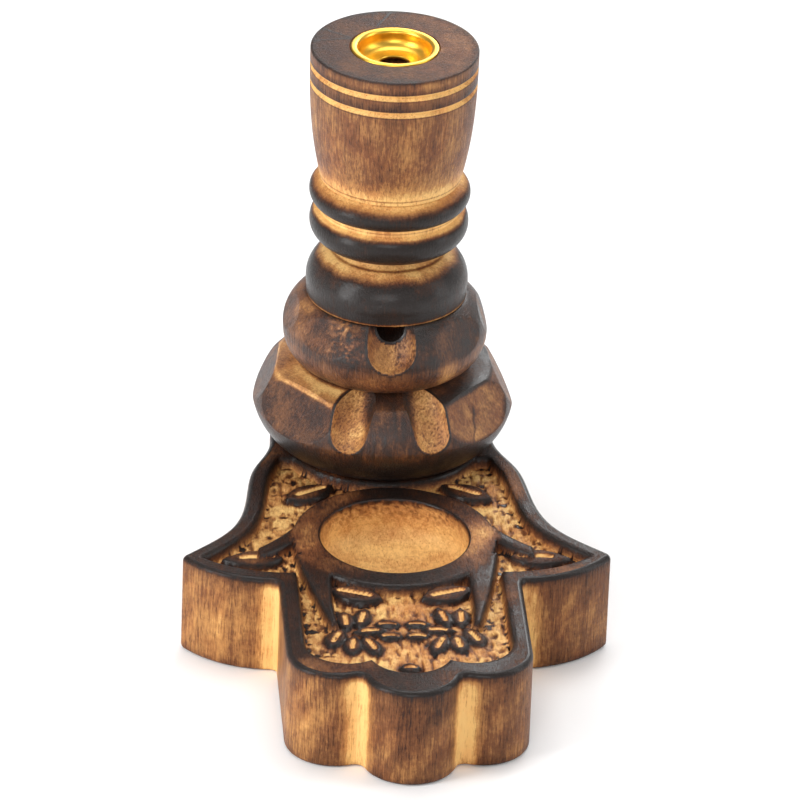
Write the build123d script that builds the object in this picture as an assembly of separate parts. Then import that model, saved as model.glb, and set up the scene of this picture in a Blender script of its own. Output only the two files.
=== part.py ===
"""Carved and turned wooden backflow incense burner: a stack of turned pieces on a hand-shaped base.

Frame: millimetres, +Z up. The origin is on the underside of the base, at the middle of the plan
that runs from the tip of the middle finger to the back of the lower disc, which overhangs the wrist.
The fingers point to -Y, the wrist and the column are at +Y.
"""
from build123d import *
import os

os.makedirs("parts", exist_ok=True)

# ---------------------------------------------------------------- base board
base_length = 180.0         # wrist end to the tip of the middle finger
base_thickness = 29.5
thumb_span = 121.6          # across the two thumb tips, before they are rounded
finger_block_width = 68.0   # across the three fingers
wrist_radius = 32.0         # round end under the column

# distances forward of the column axis
thumb_tip_reach = 71.0
shoulder_reach = 85.0       # corner between the thumb and the finger block
bowl_reach = 60.0

# the waist between the wrist and the thumb: half width, and distance forward of the column axis
wrist_flare = (38.0, 20.0)
waist = (40.5, 35.0)
thumb_root = (46.8, 56.0)
thumb_slope = (3.8, 4.0)    # direction in which the flare runs out at the thumb tip
thumb_bulge = 3.9           # how far the lower edge of the thumb bows forward
thumb_tip_mitre = 1.25      # the drawn-in thumb tip moves back by this share of the inset
finger_radius = 13.5
middle_finger_lead = 10.1   # the middle finger stands this far in front of the outer two
thumb_tip_round = 2.2
shoulder_round = 2.2
finger_notch_round = 2.5
top_edge_round = 1.6
bottom_edge_round = 1.4

# ---------------------------------------------------------------- carved recess in the base
recess_depth = 3.0
rim_width = 5.0             # left standing round the wrist, thumbs and finger block
recess_back_reach = 14.0    # where the recess starts, forward of the column axis
outer_finger_rim = 7.2      # rim in front of the outer fingers
middle_finger_rim = 12.0    # rim in front of the middle finger
recess_thumb_bulge = 2.6
recess_finger_draw = 1.8    # the recess fingers are this much rounder than the outside ones
foot_margin = 1.5           # standing wood round the foot of the lower disc
ring_width = 7.6            # raised ring round the bowl

# the two tapering arms that run forward from the ring, as (half width, distance ahead of the bowl)
arm_root_outer = (28.2, 9.0)
arm_mid_outer = (25.2, 27.0)
arm_tip = (20.4, 48.5)
arm_mid_inner = (20.0, 33.0)
arm_root_inner = (18.6, 16.0)
arm_tip_width = 1.2

# the curved stems from the ring to the thumbs, as (half width, distance ahead of the bowl)
stem_root_back = (26.5, -8.5)
stem_bend_back = (31.2, -1.5)
stem_end_back = (38.5, 6.0)
stem_end_front = (38.5, 10.8)
stem_bend_front = (31.5, 5.0)
stem_root_front = (27.0, -0.5)

# ---------------------------------------------------------------- bowl that takes a small candle
bowl_diameter = 42.0
bowl_depth = 12.5
bowl_floor_round = 5.0
bowl_lip_round = 0.6

# ---------------------------------------------------------------- lower cascade disc
lower_disc_height = 25.6
lower_disc_foot_radius = 28.0
lower_disc_radius = 37.4
lower_disc_widest = 12.8    # height of the widest place above its foot
lower_ledge_radius = 30.6   # outer edge of the flat ledge on top
lower_ledge_drop = 1.8      # the ledge falls this much from the upper disc to its edge
lower_disc_under = (0.62, 0.375)    # the curve under the widest place: shares of overhang and height
lower_disc_over = (0.58, 0.68)      # the curve above it
lower_facet_cut = 0.9       # depth of the flat cut on each front shoulder
lower_facet_turn = 47.0     # degrees either side of straight forward
lower_facet_tilt = 40.0     # degrees that the flat looks upward

# ---------------------------------------------------------------- upper cascade disc
upper_disc_height = 21.0
upper_disc_foot_radius = 22.8
upper_disc_radius = 29.2
upper_disc_widest = 9.8
upper_disc_top_radius = 22.9
upper_disc_under = (0.76, 0.42)
upper_disc_over = (0.78, 0.60)

# ---------------------------------------------------------------- gouged channels in the discs
spout_width = 13.6
spout_depth = 3.6
spout_bottom = 10.4         # height of the lower end of the spout above the foot of the upper disc
spout_lean = (0, -0.85, 0.53)       # the way that each gouge faces
lobe_width = 8.6
lobe_depth = 2.0
lobe_top_offset = 8.4       # the two lobes spread from here, each side of the middle,
lobe_bottom_offset = 13.2   # to here
lobe_lean = (0.18, -0.72, 0.66)     # for the right-hand lobe
valley_width = 27.0         # shallow cut between the two lobes
valley_depth = 1.1
valley_end = (2.6, 6.5)             # in from the widest radius, and up from the widest height
valley_lean = (0, -0.6, 0.8)

# ---------------------------------------------------------------- dome collar, bead ring and barrel
dome_height = 14.9
dome_radius = 23.0
dome_shoulder_radius = 15.4
dome_foot_inset = 0.4
dome_side = 0.22            # share of the height that is nearly upright
dome_crown = (0.74, 0.73)   # the curve of the crown passes at these shares of radius and height
neck_radius = 14.3
neck_height = 3.2
neck_slope = 0.4            # share of the neck's height in which it draws in
bead_ring_height = 18.6
bead_radius = 22.9
bead_valley_radius = 20.3
bead_valley_height = 9.9    # above the underside of the lower bead
bead_widest = 0.62          # share of the valley's height where the lower bead is widest
barrel_height = 40.4
barrel_top_radius = 23.8
barrel_waist_radius = 22.8
barrel_waist_height = 16.0
barrel_foot_radius = 19.9
barrel_foot_slope = (0.12, 1.0)     # direction of the side where it leaves the foot
barrel_top_slope = (0.01, 1.0)
barrel_edge_round = 0.5
groove_width = 1.9
groove_depth = 0.9
groove_drops = (4.8, 10.0)  # below the top face

# ---------------------------------------------------------------- smoke channel
smoke_bore_diameter = 5.5
outlet_drop = 2.9           # axis of the outlet below the top of the upper disc, at the column axis
outlet_fall = 6.0           # degrees that the outlet falls towards the spout
outlet_mouth_diameter = 9.0
outlet_mouth_length = 4.0

# ---------------------------------------------------------------- metal cup
cup_opening_diameter = 20.6
cup_flange_width = 2.2
cup_depth = 6.0
cup_hole_diameter = 9.0
cup_wall = 0.8
cup_floor_round = 3.0
cup_lip_round = 1.0
cup_rim_round = 0.24
cup_standing = 0.2          # flange left proud of the wood
cup_side_clearance = 0.3
cup_under_clearance = 0.6

# ---------------------------------------------------------------- glued and screwed joints
spigot_wall = 5.0           # wood round the smoke bore
spigot_length = 8.0
spigot_end_gap = 0.6
glue_clearance = 0.04       # radial
dowel_diameter = 6.0
dowel_length = 20.0
dowel_spacing = 20.0        # one in front of the column axis and one behind
dowel_end_gap = 0.5
dowel_chamfer = 0.5
screw_shank_diameter = 4.2
screw_head_diameter = 8.4
screw_spacing = 28.0
screw_bite = 15.0           # length of screw in the lower disc
screw_sink = 6.0            # the head is sunk this far in the underside
screw_hole_clearance = 0.25
screw_slot_width = 1.1
screw_slot_depth = 1.2
screw_point_length = 4.0

# ---------------------------------------------------------------- derived places
overall_length = base_length - wrist_radius + lower_disc_radius
front_y = -overall_length / 2
column_y = front_y + base_length - wrist_radius
bowl_y = column_y - bowl_reach
bowl_radius = bowl_diameter / 2
ring_radius = bowl_radius + ring_width
recess_floor = base_thickness - recess_depth
middle_finger_y = front_y + finger_radius
outer_finger_y = middle_finger_y + middle_finger_lead
outer_finger_x = finger_block_width / 2 - finger_radius
lower_z = base_thickness
upper_z = lower_z + lower_disc_height
dome_z = upper_z + upper_disc_height
neck_z = dome_z + dome_height
bead_z = neck_z + neck_height
barrel_z = bead_z + bead_ring_height
top_z = barrel_z + barrel_height
spigot_radius = smoke_bore_diameter / 2 + spigot_wall
cup_flange_diameter = cup_opening_diameter + 2 * cup_flange_width
cup_flange_seat = top_z + cup_standing - cup_wall
column = Location((0, column_y, 0))


def ahead(place, start_y):
    """A (half width, distance forward) pair as a point, measured forward from start_y."""
    return (place[0], start_y - place[1])


def plate(face, bottom, height):
    """Extrude a plan outline upward from a height."""
    return extrude(Pos(0, 0, bottom) * face, amount=height)


def mirrored(face):
    """A face together with its left-hand twin."""
    return face + mirror(face, about=Plane.YZ)


def turned(edges):
    """Turn a closed half section, drawn as (radius, height), about the column axis."""
    section = make_face(Plane.XZ * edges)
    return column * revolve(section, axis=Axis.Z)


def spigot_at(height):
    """Round spigot that hangs below a shoulder, for the piece underneath."""
    return column * Pos(0, 0, height - spigot_length / 2) * Cylinder(spigot_radius, spigot_length)


def socket_at(height):
    """Blind hole for a spigot, measured down from the face that it enters."""
    depth = spigot_length + spigot_end_gap
    return column * Pos(0, 0, height - depth / 2) * Cylinder(spigot_radius + glue_clearance, depth)


def smoke_bore():
    """The vertical drilling through the whole stem, down into the top of the upper disc."""
    bottom = dome_z - spigot_length - spigot_end_gap
    length = top_z - bottom
    return column * Pos(0, 0, bottom + length / 2) * Cylinder(smoke_bore_diameter / 2, length)


def smoke_outlet():
    """The sloping drilling from the bore to the spout, with its widened mouth."""
    mouth_start = upper_disc_top_radius - spout_depth - outlet_mouth_length / 2
    long_enough = upper_disc_radius
    drill = Pos(0, 0, long_enough / 2) * Cylinder(smoke_bore_diameter / 2, long_enough)
    mouth_length = long_enough - mouth_start
    mouth = Pos(0, 0, mouth_start + mouth_length / 2) * Cone(
        smoke_bore_diameter / 2, outlet_mouth_diameter / 2, mouth_length
    )
    place = Location((0, column_y, dome_z - outlet_drop))
    return place * Rot(90 + outlet_fall, 0, 0) * (drill + mouth)


def finger_outline(half_width, back_y, outer_y, radius, middle_y):
    """Finger block in plan: a rectangle, a round end on each outer finger and one on the middle."""
    outer_x = half_width - radius
    block = Pos(0, (back_y + outer_y) / 2) * Rectangle(2 * half_width, back_y - outer_y)
    outer = mirrored(Pos(outer_x, outer_y) * Circle(radius))
    join = Pos(0, (outer_y + middle_y) / 2) * Rectangle(2 * radius, abs(outer_y - middle_y))
    between = Pos(0, outer_y) * Rectangle(2 * outer_x, radius)
    return block + outer + join + between + Pos(0, middle_y) * Circle(radius)


def thumb_side(inset):
    """The flare from the wrist to the thumb tip, as (half width, reach), drawn in by inset."""
    tip = (thumb_span / 2, thumb_tip_reach)
    places = [(wrist_radius, 0), wrist_flare, waist, thumb_root, tip]
    drawn_in = [(wrist_radius - inset, 0)]
    for before, place, after in zip(places, places[1:], places[2:]):
        along = Vector(after[0] - before[0], after[1] - before[1]).normalized()
        drawn_in.append((place[0] - inset * along.Y, place[1] + inset * along.X))
    drawn_in.append((tip[0] - thumb_tip_mitre * inset, tip[1] + inset / 8))
    return drawn_in


def palm_outline(inset=0.0, bulge=thumb_bulge):
    """Palm and both thumbs in plan, drawn in by inset."""
    wrist_back = (0, column_y + wrist_radius - inset)
    side = [ahead(place, column_y) for place in thumb_side(inset)]
    shoulder = ahead((finger_block_width / 2 - inset, shoulder_reach - inset), column_y)
    half = make_face(
        RadiusArc(wrist_back, side[0], wrist_radius - inset)
        + Spline(*side, tangents=((0, -1), (thumb_slope[0], -thumb_slope[1])))
        + SagittaArc(side[-1], shoulder, bulge)
        + Line(shoulder, (0, shoulder[1]))
        + Line((0, shoulder[1]), wrist_back)
    )
    return mirrored(half)


def base_outline():
    """The whole hand in plan, with its corners eased."""
    fingers = finger_outline(
        finger_block_width / 2,
        column_y - shoulder_reach + finger_radius,
        outer_finger_y,
        finger_radius,
        middle_finger_y,
    )
    hand = palm_outline() + fingers
    tips = [v for v in hand.vertices() if abs(v.X) > thumb_span / 2 - thumb_tip_round]
    hand = fillet(tips, thumb_tip_round)
    shoulders = [v for v in hand.vertices() if abs(v.Y - (column_y - shoulder_reach)) < 0.01]
    hand = fillet(shoulders, shoulder_round)
    notches = [
        v
        for v in hand.vertices()
        if v.Y < outer_finger_y and abs(v.X) < outer_finger_x and abs(v.X) > 1
    ]
    return fillet(notches, finger_notch_round)


def recess_outline():
    """What is carved away round the bowl: the hand drawn smaller, with a deeper front rim."""
    inner_half = finger_block_width / 2 - rim_width
    inner_radius = finger_radius - recess_finger_draw
    outer_y = front_y + middle_finger_lead + outer_finger_rim + inner_radius
    middle_y = front_y + middle_finger_rim + inner_radius
    palm = palm_outline(rim_width, recess_thumb_bulge)
    back_y = column_y - recess_back_reach
    wrist_band = Pos(0, (back_y + column_y + wrist_radius) / 2) * Rectangle(
        thumb_span, column_y + wrist_radius - back_y
    )
    fingers_back = column_y - shoulder_reach + rim_width + inner_radius
    fingers = finger_outline(inner_half, fingers_back, outer_y, inner_radius, middle_y)
    foot_pad = Pos(0, column_y) * Circle(lower_disc_foot_radius + foot_margin)
    return palm - wrist_band + fingers - foot_pad


def raised_ornament():
    """Ring round the bowl, its two arms and the stems to the thumbs, in plan."""
    tip_inner = (arm_tip[0] - arm_tip_width, arm_tip[1])
    arm = make_face(
        ThreePointArc(*[ahead(p, bowl_y) for p in (arm_root_outer, arm_mid_outer, arm_tip)])
        + Line(ahead(arm_tip, bowl_y), ahead(tip_inner, bowl_y))
        + ThreePointArc(*[ahead(p, bowl_y) for p in (tip_inner, arm_mid_inner, arm_root_inner)])
        + Line(ahead(arm_root_inner, bowl_y), ahead(arm_root_outer, bowl_y))
    )
    stem = make_face(
        ThreePointArc(*[ahead(p, bowl_y) for p in (stem_root_back, stem_bend_back, stem_end_back)])
        + Line(ahead(stem_end_back, bowl_y), ahead(stem_end_front, bowl_y))
        + ThreePointArc(*[ahead(p, bowl_y) for p in (stem_end_front, stem_bend_front, stem_root_front)])
        + Line(ahead(stem_root_front, bowl_y), ahead(stem_root_back, bowl_y))
    )
    return Pos(0, bowl_y) * Circle(ring_radius) + mirrored(arm) + mirrored(stem)


def candle_bowl():
    """The hollow of the bowl: straight wall, eased lip and a rounded corner at the floor."""
    height = bowl_depth + recess_depth
    hollow = Pos(0, bowl_y, base_thickness - bowl_depth + height / 2) * Cylinder(bowl_radius, height)
    floor_edge = hollow.edges().group_by(Axis.Z)[0]
    lip_top = bowl_radius + bowl_lip_round
    lip = Pos(0, bowl_y, base_thickness - bowl_lip_round / 2) * Cone(
        bowl_radius, lip_top, bowl_lip_round
    )
    return fillet(floor_edge, bowl_floor_round) + lip


def screw_places():
    """The two screw axes, left and right of the column axis."""
    return {"left": -screw_spacing / 2, "right": screw_spacing / 2}


def screw_hole(x):
    """Clearance hole through the base, with the sunk head recess at the underside."""
    shank = screw_shank_diameter / 2 + screw_hole_clearance
    head = screw_head_diameter / 2 + screw_hole_clearance
    through = Pos(x, column_y, base_thickness / 2) * Cylinder(shank, base_thickness)
    sink = Pos(x, column_y, screw_sink / 2) * Cylinder(head, screw_sink)
    cone_height = head - shank
    cone = Pos(x, column_y, screw_sink + cone_height / 2) * Cone(head, shank, cone_height)
    return through + sink + cone


def dowel_places():
    """The two dowel axes, in front of and behind the column axis."""
    return {"front": column_y - dowel_spacing / 2, "back": column_y + dowel_spacing / 2}


def dowel_hole(y):
    """One drilling that crosses the joint between the two discs."""
    length = dowel_length + 2 * dowel_end_gap
    return Pos(0, y, upper_z) * Cylinder(dowel_diameter / 2 + glue_clearance, length)


def hamsa_base():
    """Base board: carved recess, raised ring and arms, candle bowl, screw holes."""
    hand = base_outline()
    board = plate(hand, 0, base_thickness)
    board = fillet(board.edges().group_by(Axis.Z)[-1], top_edge_round)
    board = fillet(board.edges().group_by(Axis.Z)[0], bottom_edge_round)
    carved = recess_outline() - raised_ornament()
    board -= plate(carved, recess_floor, 2 * recess_depth)
    board -= candle_bowl()
    for x in screw_places().values():
        board -= screw_hole(x)
    return board


def channel(top, bottom, width, depth, outward):
    """Round-bottomed gouge cut from top to bottom, ending in a round; outward points off the wood."""
    radius = (width * width / 4 + depth * depth) / (2 * depth)
    lift = outward.normalized() * (radius - depth)
    start = Vector(*top) + lift
    end = Vector(*bottom) + lift
    run = end - start
    overrun = run.normalized() * depth
    path = Line(start - overrun * 2, end)
    bar = sweep(Plane(path @ 0, z_dir=run) * Circle(radius), path=path)
    return bar + Pos(*end) * Sphere(radius)


def shoulder_flat(side):
    """Slab that cuts a flat on one front shoulder of the lower disc."""
    reach = (lower_disc_radius + lower_ledge_radius) / 2 - lower_facet_cut
    height = lower_z + (lower_disc_widest + lower_disc_height) / 2
    slab = Pos(reach / 2, 0, 0) * Box(reach, lower_disc_radius * 2, lower_disc_height * 2)
    place = Location((0, column_y, height)) * Rot(0, 0, -90 + side * lower_facet_turn)
    return place * Pos(reach, 0, 0) * Rot(0, -lower_facet_tilt, 0) * slab


def disc_section(foot_radius, widest, edge, under, over):
    """Half section of a disc from its axis up to the edge of its top, as a closed line still open there.

    The two curves pass at the given shares of the overhang and of the height.
    """
    below = (foot_radius + under[0] * (widest[0] - foot_radius), under[1] * widest[1])
    above = (edge[0] + over[0] * (widest[0] - edge[0]), widest[1] + over[1] * (edge[1] - widest[1]))
    foot = (foot_radius, 0)
    return Line((0, 0), foot) + ThreePointArc(foot, below, widest) + ThreePointArc(widest, above, edge)


def lower_cascade_disc():
    """Wide disc on the base: flat ledge on top, two spreading lobes gouged in the front."""
    ledge = (lower_ledge_radius, lower_disc_height - lower_ledge_drop)
    section = disc_section(
        lower_disc_foot_radius,
        (lower_disc_radius, lower_disc_widest),
        ledge,
        lower_disc_under,
        lower_disc_over,
    )
    section += Line(ledge, (upper_disc_foot_radius, lower_disc_height))
    section += Line((upper_disc_foot_radius, lower_disc_height), (0, lower_disc_height))
    section += Line((0, lower_disc_height), (0, 0))
    disc = turned_at(section, lower_z)
    for side in (-1, 1):
        disc -= shoulder_flat(side)
        disc -= lobe(side)
    disc -= valley()
    for x in screw_places().values():
        bite = screw_bite + spigot_end_gap
        disc -= Pos(x, column_y, lower_z + bite / 2) * Cylinder(screw_shank_diameter / 2, bite)
    for y in dowel_places().values():
        disc -= dowel_hole(y)
    return disc


def turned_at(edges, height):
    """Turn a half section whose own zero height stands at the given height."""
    return Pos(0, 0, height) * turned(edges)


def lobe(side):
    """One of the two round-ended lobes of the lower channel."""
    top = (side * lobe_top_offset, column_y - upper_disc_foot_radius, lower_z + lower_disc_height)
    bottom_reach = (lower_disc_radius**2 - lobe_bottom_offset**2) ** 0.5
    bottom = (
        side * (lobe_bottom_offset - lobe_width / 5),
        column_y - bottom_reach + lobe_depth * 1.5,
        lower_z + lower_disc_widest + lobe_width / 2,
    )
    lean = Vector(side * lobe_lean[0], lobe_lean[1], lobe_lean[2])
    return channel(top, bottom, lobe_width, lobe_depth, lean)


def valley():
    """Shallow scoop that joins the two lobes across the middle."""
    top = (0, column_y - upper_disc_foot_radius, lower_z + lower_disc_height)
    bottom = (0, column_y - lower_disc_radius + valley_end[0], lower_z + lower_disc_widest + valley_end[1])
    return channel(top, bottom, valley_width, valley_depth, Vector(*valley_lean))


def upper_cascade_disc():
    """Smaller disc: socket for the collar, smoke outlet, and the spout gouged in the front."""
    top_edge = (upper_disc_top_radius, upper_disc_height)
    section = disc_section(
        upper_disc_foot_radius,
        (upper_disc_radius, upper_disc_widest),
        top_edge,
        upper_disc_under,
        upper_disc_over,
    )
    section += Line(top_edge, (0, upper_disc_height))
    section += Line((0, upper_disc_height), (0, 0))
    disc = turned_at(section, upper_z)
    disc -= spout()
    disc -= socket_at(dome_z)
    disc -= smoke_outlet()
    for y in dowel_places().values():
        disc -= dowel_hole(y)
    return disc


def spout():
    """The single U-shaped gouge under the smoke outlet."""
    top = (0, column_y - upper_disc_top_radius, dome_z)
    bottom = (
        0,
        column_y - upper_disc_radius + spout_depth / 2,
        upper_z + spout_bottom + spout_width / 2,
    )
    return channel(top, bottom, spout_width, spout_depth, Vector(*spout_lean))


def dome_collar():
    """Domed collar with the short neck above it and a spigot below."""
    side = (dome_radius, dome_height * dome_side)
    shoulder = (dome_shoulder_radius, dome_height)
    crown = (
        dome_shoulder_radius + dome_crown[0] * (dome_radius - dome_shoulder_radius),
        dome_height * dome_crown[1],
    )
    neck = (neck_radius, dome_height + neck_height * neck_slope)
    top = dome_height + neck_height
    section = (
        Line((0, 0), (dome_radius - dome_foot_inset, 0))
        + Line((dome_radius - dome_foot_inset, 0), side)
        + ThreePointArc(side, crown, shoulder)
        + Line(shoulder, neck)
        + Line(neck, (neck_radius, top))
        + Line((neck_radius, top), (0, top))
        + Line((0, top), (0, 0))
    )
    collar = turned_at(section, dome_z) + spigot_at(dome_z)
    return collar - socket_at(bead_z) - smoke_bore() - smoke_outlet()


def bead_ring():
    """Two round beads with a valley between them, and a spigot below."""
    valley_point = (bead_valley_radius, bead_valley_height)
    top_bead = (bead_ring_height + bead_valley_height) / 2
    section = (
        Line((0, 0), (neck_radius, 0))
        + ThreePointArc((neck_radius, 0), (bead_radius, bead_valley_height * bead_widest), valley_point)
        + ThreePointArc(valley_point, (bead_radius, top_bead), (barrel_foot_radius, bead_ring_height))
        + Line((barrel_foot_radius, bead_ring_height), (0, bead_ring_height))
        + Line((0, bead_ring_height), (0, 0))
    )
    ring = turned_at(section, bead_z) + spigot_at(bead_z)
    return ring - socket_at(barrel_z) - smoke_bore()


def barrel_head():
    """Tapering barrel with two V grooves, the seat for the cup on top and a spigot below."""
    side = Spline(
        (barrel_foot_radius, 0),
        (barrel_waist_radius, barrel_waist_height),
        (barrel_top_radius, barrel_height),
        tangents=(barrel_foot_slope, barrel_top_slope),
    )
    section = (
        Line((0, 0), (barrel_foot_radius, 0))
        + side
        + Line((barrel_top_radius, barrel_height), (0, barrel_height))
        + Line((0, barrel_height), (0, 0))
    )
    barrel = turned_at(section, barrel_z)
    barrel = fillet(barrel.edges().group_by(Axis.Z)[-1], barrel_edge_round)
    for drop in groove_drops:
        middle = top_z - drop
        outside = barrel_top_radius + groove_depth
        cut = (
            Line((barrel_top_radius - groove_depth, middle), (outside, middle + groove_width))
            + Line((outside, middle + groove_width), (outside, middle - groove_width))
            + Line((outside, middle - groove_width), (barrel_top_radius - groove_depth, middle))
        )
        barrel -= turned(cut)
    barrel += spigot_at(barrel_z)
    flange_radius = cup_flange_diameter / 2 + cup_side_clearance
    seat_depth = top_z - cup_flange_seat
    barrel -= column * Pos(0, 0, top_z - seat_depth / 2) * Cylinder(flange_radius, seat_depth)
    hollow_radius = cup_opening_diameter / 2 + cup_wall + cup_side_clearance
    hollow_depth = cup_depth + cup_under_clearance
    barrel -= column * Pos(0, 0, cup_flange_seat - hollow_depth / 2) * Cylinder(
        hollow_radius, hollow_depth
    )
    return barrel - smoke_bore()


def smoke_cup():
    """Stamped metal cup: flat flange, rounded lip, curved wall, floor with a smoke hole."""
    flange_top = cup_flange_seat + cup_wall
    outer_radius = cup_opening_diameter / 2 + cup_wall
    body = column * Pos(0, 0, flange_top - cup_depth / 2) * Cylinder(outer_radius, cup_depth)
    body = fillet(body.edges().group_by(Axis.Z)[0], cup_floor_round + cup_wall)
    flange = column * Pos(0, 0, flange_top - cup_wall / 2) * Cylinder(
        cup_flange_diameter / 2, cup_wall
    )
    inside_depth = cup_depth - cup_wall
    inside = column * Pos(0, 0, flange_top - inside_depth / 2) * Cylinder(
        cup_opening_diameter / 2, inside_depth
    )
    inside = fillet(inside.edges().group_by(Axis.Z)[0], cup_floor_round)
    cup = body + flange - inside
    cup -= column * Pos(0, 0, flange_top - cup_depth) * Cylinder(cup_hole_diameter / 2, cup_depth)
    lip = [
        e
        for e in cup.edges().filter_by(GeomType.CIRCLE)
        if abs(e.radius - cup_opening_diameter / 2) < 0.01 and abs(e.center().Z - flange_top) < 0.01
    ]
    cup = fillet(lip, cup_lip_round)
    rim = [
        e
        for e in cup.edges().filter_by(GeomType.CIRCLE)
        if abs(e.radius - cup_flange_diameter / 2) < 0.01
    ]
    return fillet(rim, cup_rim_round)


def disc_dowel(y):
    """Plain wooden dowel across the joint between the two discs."""
    pin = Pos(0, y, upper_z) * Cylinder(dowel_diameter / 2, dowel_length)
    return chamfer(pin.edges().filter_by(GeomType.CIRCLE), dowel_chamfer)


def base_screw(x):
    """Countersunk slotted wood screw, driven up from the underside."""
    shank = screw_shank_diameter / 2
    head = screw_head_diameter / 2
    head_top = screw_sink + head - shank
    section = (
        Line((0, screw_sink), (head, screw_sink))
        + Line((head, screw_sink), (shank, head_top))
        + Line((shank, head_top), (shank, lower_z + screw_bite - screw_point_length))
        + Line((shank, lower_z + screw_bite - screw_point_length), (0, lower_z + screw_bite))
        + Line((0, lower_z + screw_bite), (0, screw_sink))
    )
    screw = Pos(x, 0, 0) * turned(section)
    slot = Box(screw_head_diameter, screw_slot_width, screw_slot_depth)
    return screw - Pos(x, column_y, screw_sink + screw_slot_depth / 2) * slot


parts = {
    "hamsa_base": hamsa_base(),
    "lower_cascade_disc": lower_cascade_disc(),
    "upper_cascade_disc": upper_cascade_disc(),
    "dome_collar": dome_collar(),
    "bead_ring": bead_ring(),
    "barrel_head": barrel_head(),
    "smoke_cup": smoke_cup(),
}
for place, y in dowel_places().items():
    parts["disc_dowel_" + place] = disc_dowel(y)
for place, x in screw_places().items():
    parts["base_screw_" + place] = base_screw(x)

for name, part in parts.items():
    export_step(part, "parts/" + name + ".step")
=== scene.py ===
"""Backflow incense burner: the carved hand, the turned column and the metal cup, with their finishes."""

import math

import bmesh
import bpy
import numpy as np
from mathutils import Matrix, Vector, kdtree, noise


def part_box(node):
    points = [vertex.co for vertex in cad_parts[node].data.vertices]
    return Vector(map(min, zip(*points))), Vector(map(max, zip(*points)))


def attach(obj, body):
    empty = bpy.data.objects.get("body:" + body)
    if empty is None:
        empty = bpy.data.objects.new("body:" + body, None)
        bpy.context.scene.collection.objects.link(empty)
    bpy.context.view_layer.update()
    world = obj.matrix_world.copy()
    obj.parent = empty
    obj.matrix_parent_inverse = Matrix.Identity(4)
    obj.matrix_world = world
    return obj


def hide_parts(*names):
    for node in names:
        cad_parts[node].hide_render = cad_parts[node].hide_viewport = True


bl_info = {
    "name": "Backflow incense burner",
    "version": (1, 0, 0),
    "blender": (4, 5, 0),
    "location": "View3D > Sidebar > Burner",
    "description": "Carves the hand-shaped base, turns the column and presses the cup of an incense burner",
    "category": "Add Mesh",
}

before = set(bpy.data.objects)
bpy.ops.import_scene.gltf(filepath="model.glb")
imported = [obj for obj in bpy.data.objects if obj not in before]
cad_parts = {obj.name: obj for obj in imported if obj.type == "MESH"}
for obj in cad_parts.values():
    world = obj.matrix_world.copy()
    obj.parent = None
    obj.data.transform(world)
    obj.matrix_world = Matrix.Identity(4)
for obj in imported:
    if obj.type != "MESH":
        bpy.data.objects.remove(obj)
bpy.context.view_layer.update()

MM = 0.001

# ------------------------------------------------------------------ places that the frame gives
board_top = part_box("hamsa_base")[1].z
upper_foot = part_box("lower_cascade_disc")[1].z
dome_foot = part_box("upper_cascade_disc")[1].z
bead_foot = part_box("dome_collar")[1].z
barrel_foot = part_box("bead_ring")[1].z
barrel_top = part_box("barrel_head")[1].z
cup_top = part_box("smoke_cup")[1].z
cup_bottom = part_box("smoke_cup")[0].z
column_y = (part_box("bead_ring")[0].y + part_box("bead_ring")[1].y) / 2


def widest(node):
    """Largest radius of a turned node about the column axis."""
    low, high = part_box(node)
    return (high.x - low.x) / 2


# ------------------------------------------------------------------ sizes and colours a user may change
class BurnerSizes(bpy.types.PropertyGroup):
    """Sizes of the turning and carving that only show on the outside."""

    ring_pitch: bpy.props.FloatProperty(
        name="Turning pitch",
        description="Distance between the points round a turned piece",
        default=0.7 * MM, min=0.3 * MM, unit="LENGTH",
    )
    carving_pitch: bpy.props.FloatProperty(
        name="Carving pitch",
        description="Distance between the points of the carved palm",
        default=0.46 * MM, min=0.3 * MM, unit="LENGTH",
    )
    recess_depth: bpy.props.FloatProperty(
        name="Recess depth",
        description="How far the palm is carved below the rim",
        default=3.2 * MM, min=1 * MM, unit="LENGTH",
    )
    wall_run: bpy.props.FloatProperty(
        name="Wall run",
        description="How far the foot of a carved wall stands out from its top edge",
        default=1.0 * MM, min=0.3 * MM, unit="LENGTH",
    )
    edge_round: bpy.props.FloatProperty(
        name="Edge round",
        description="Radius of the rounded upper edge of the board",
        default=1.6 * MM, min=0.5 * MM, unit="LENGTH",
    )
    spout_width: bpy.props.FloatProperty(
        name="Spout width",
        description="Width of the gouge under the smoke outlet",
        default=12.9 * MM, min=5 * MM, unit="LENGTH",
    )
    flute_width: bpy.props.FloatProperty(
        name="Flute width",
        description="Width of each of the two flutes in the lower disc",
        default=9.4 * MM, min=4 * MM, unit="LENGTH",
    )


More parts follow.
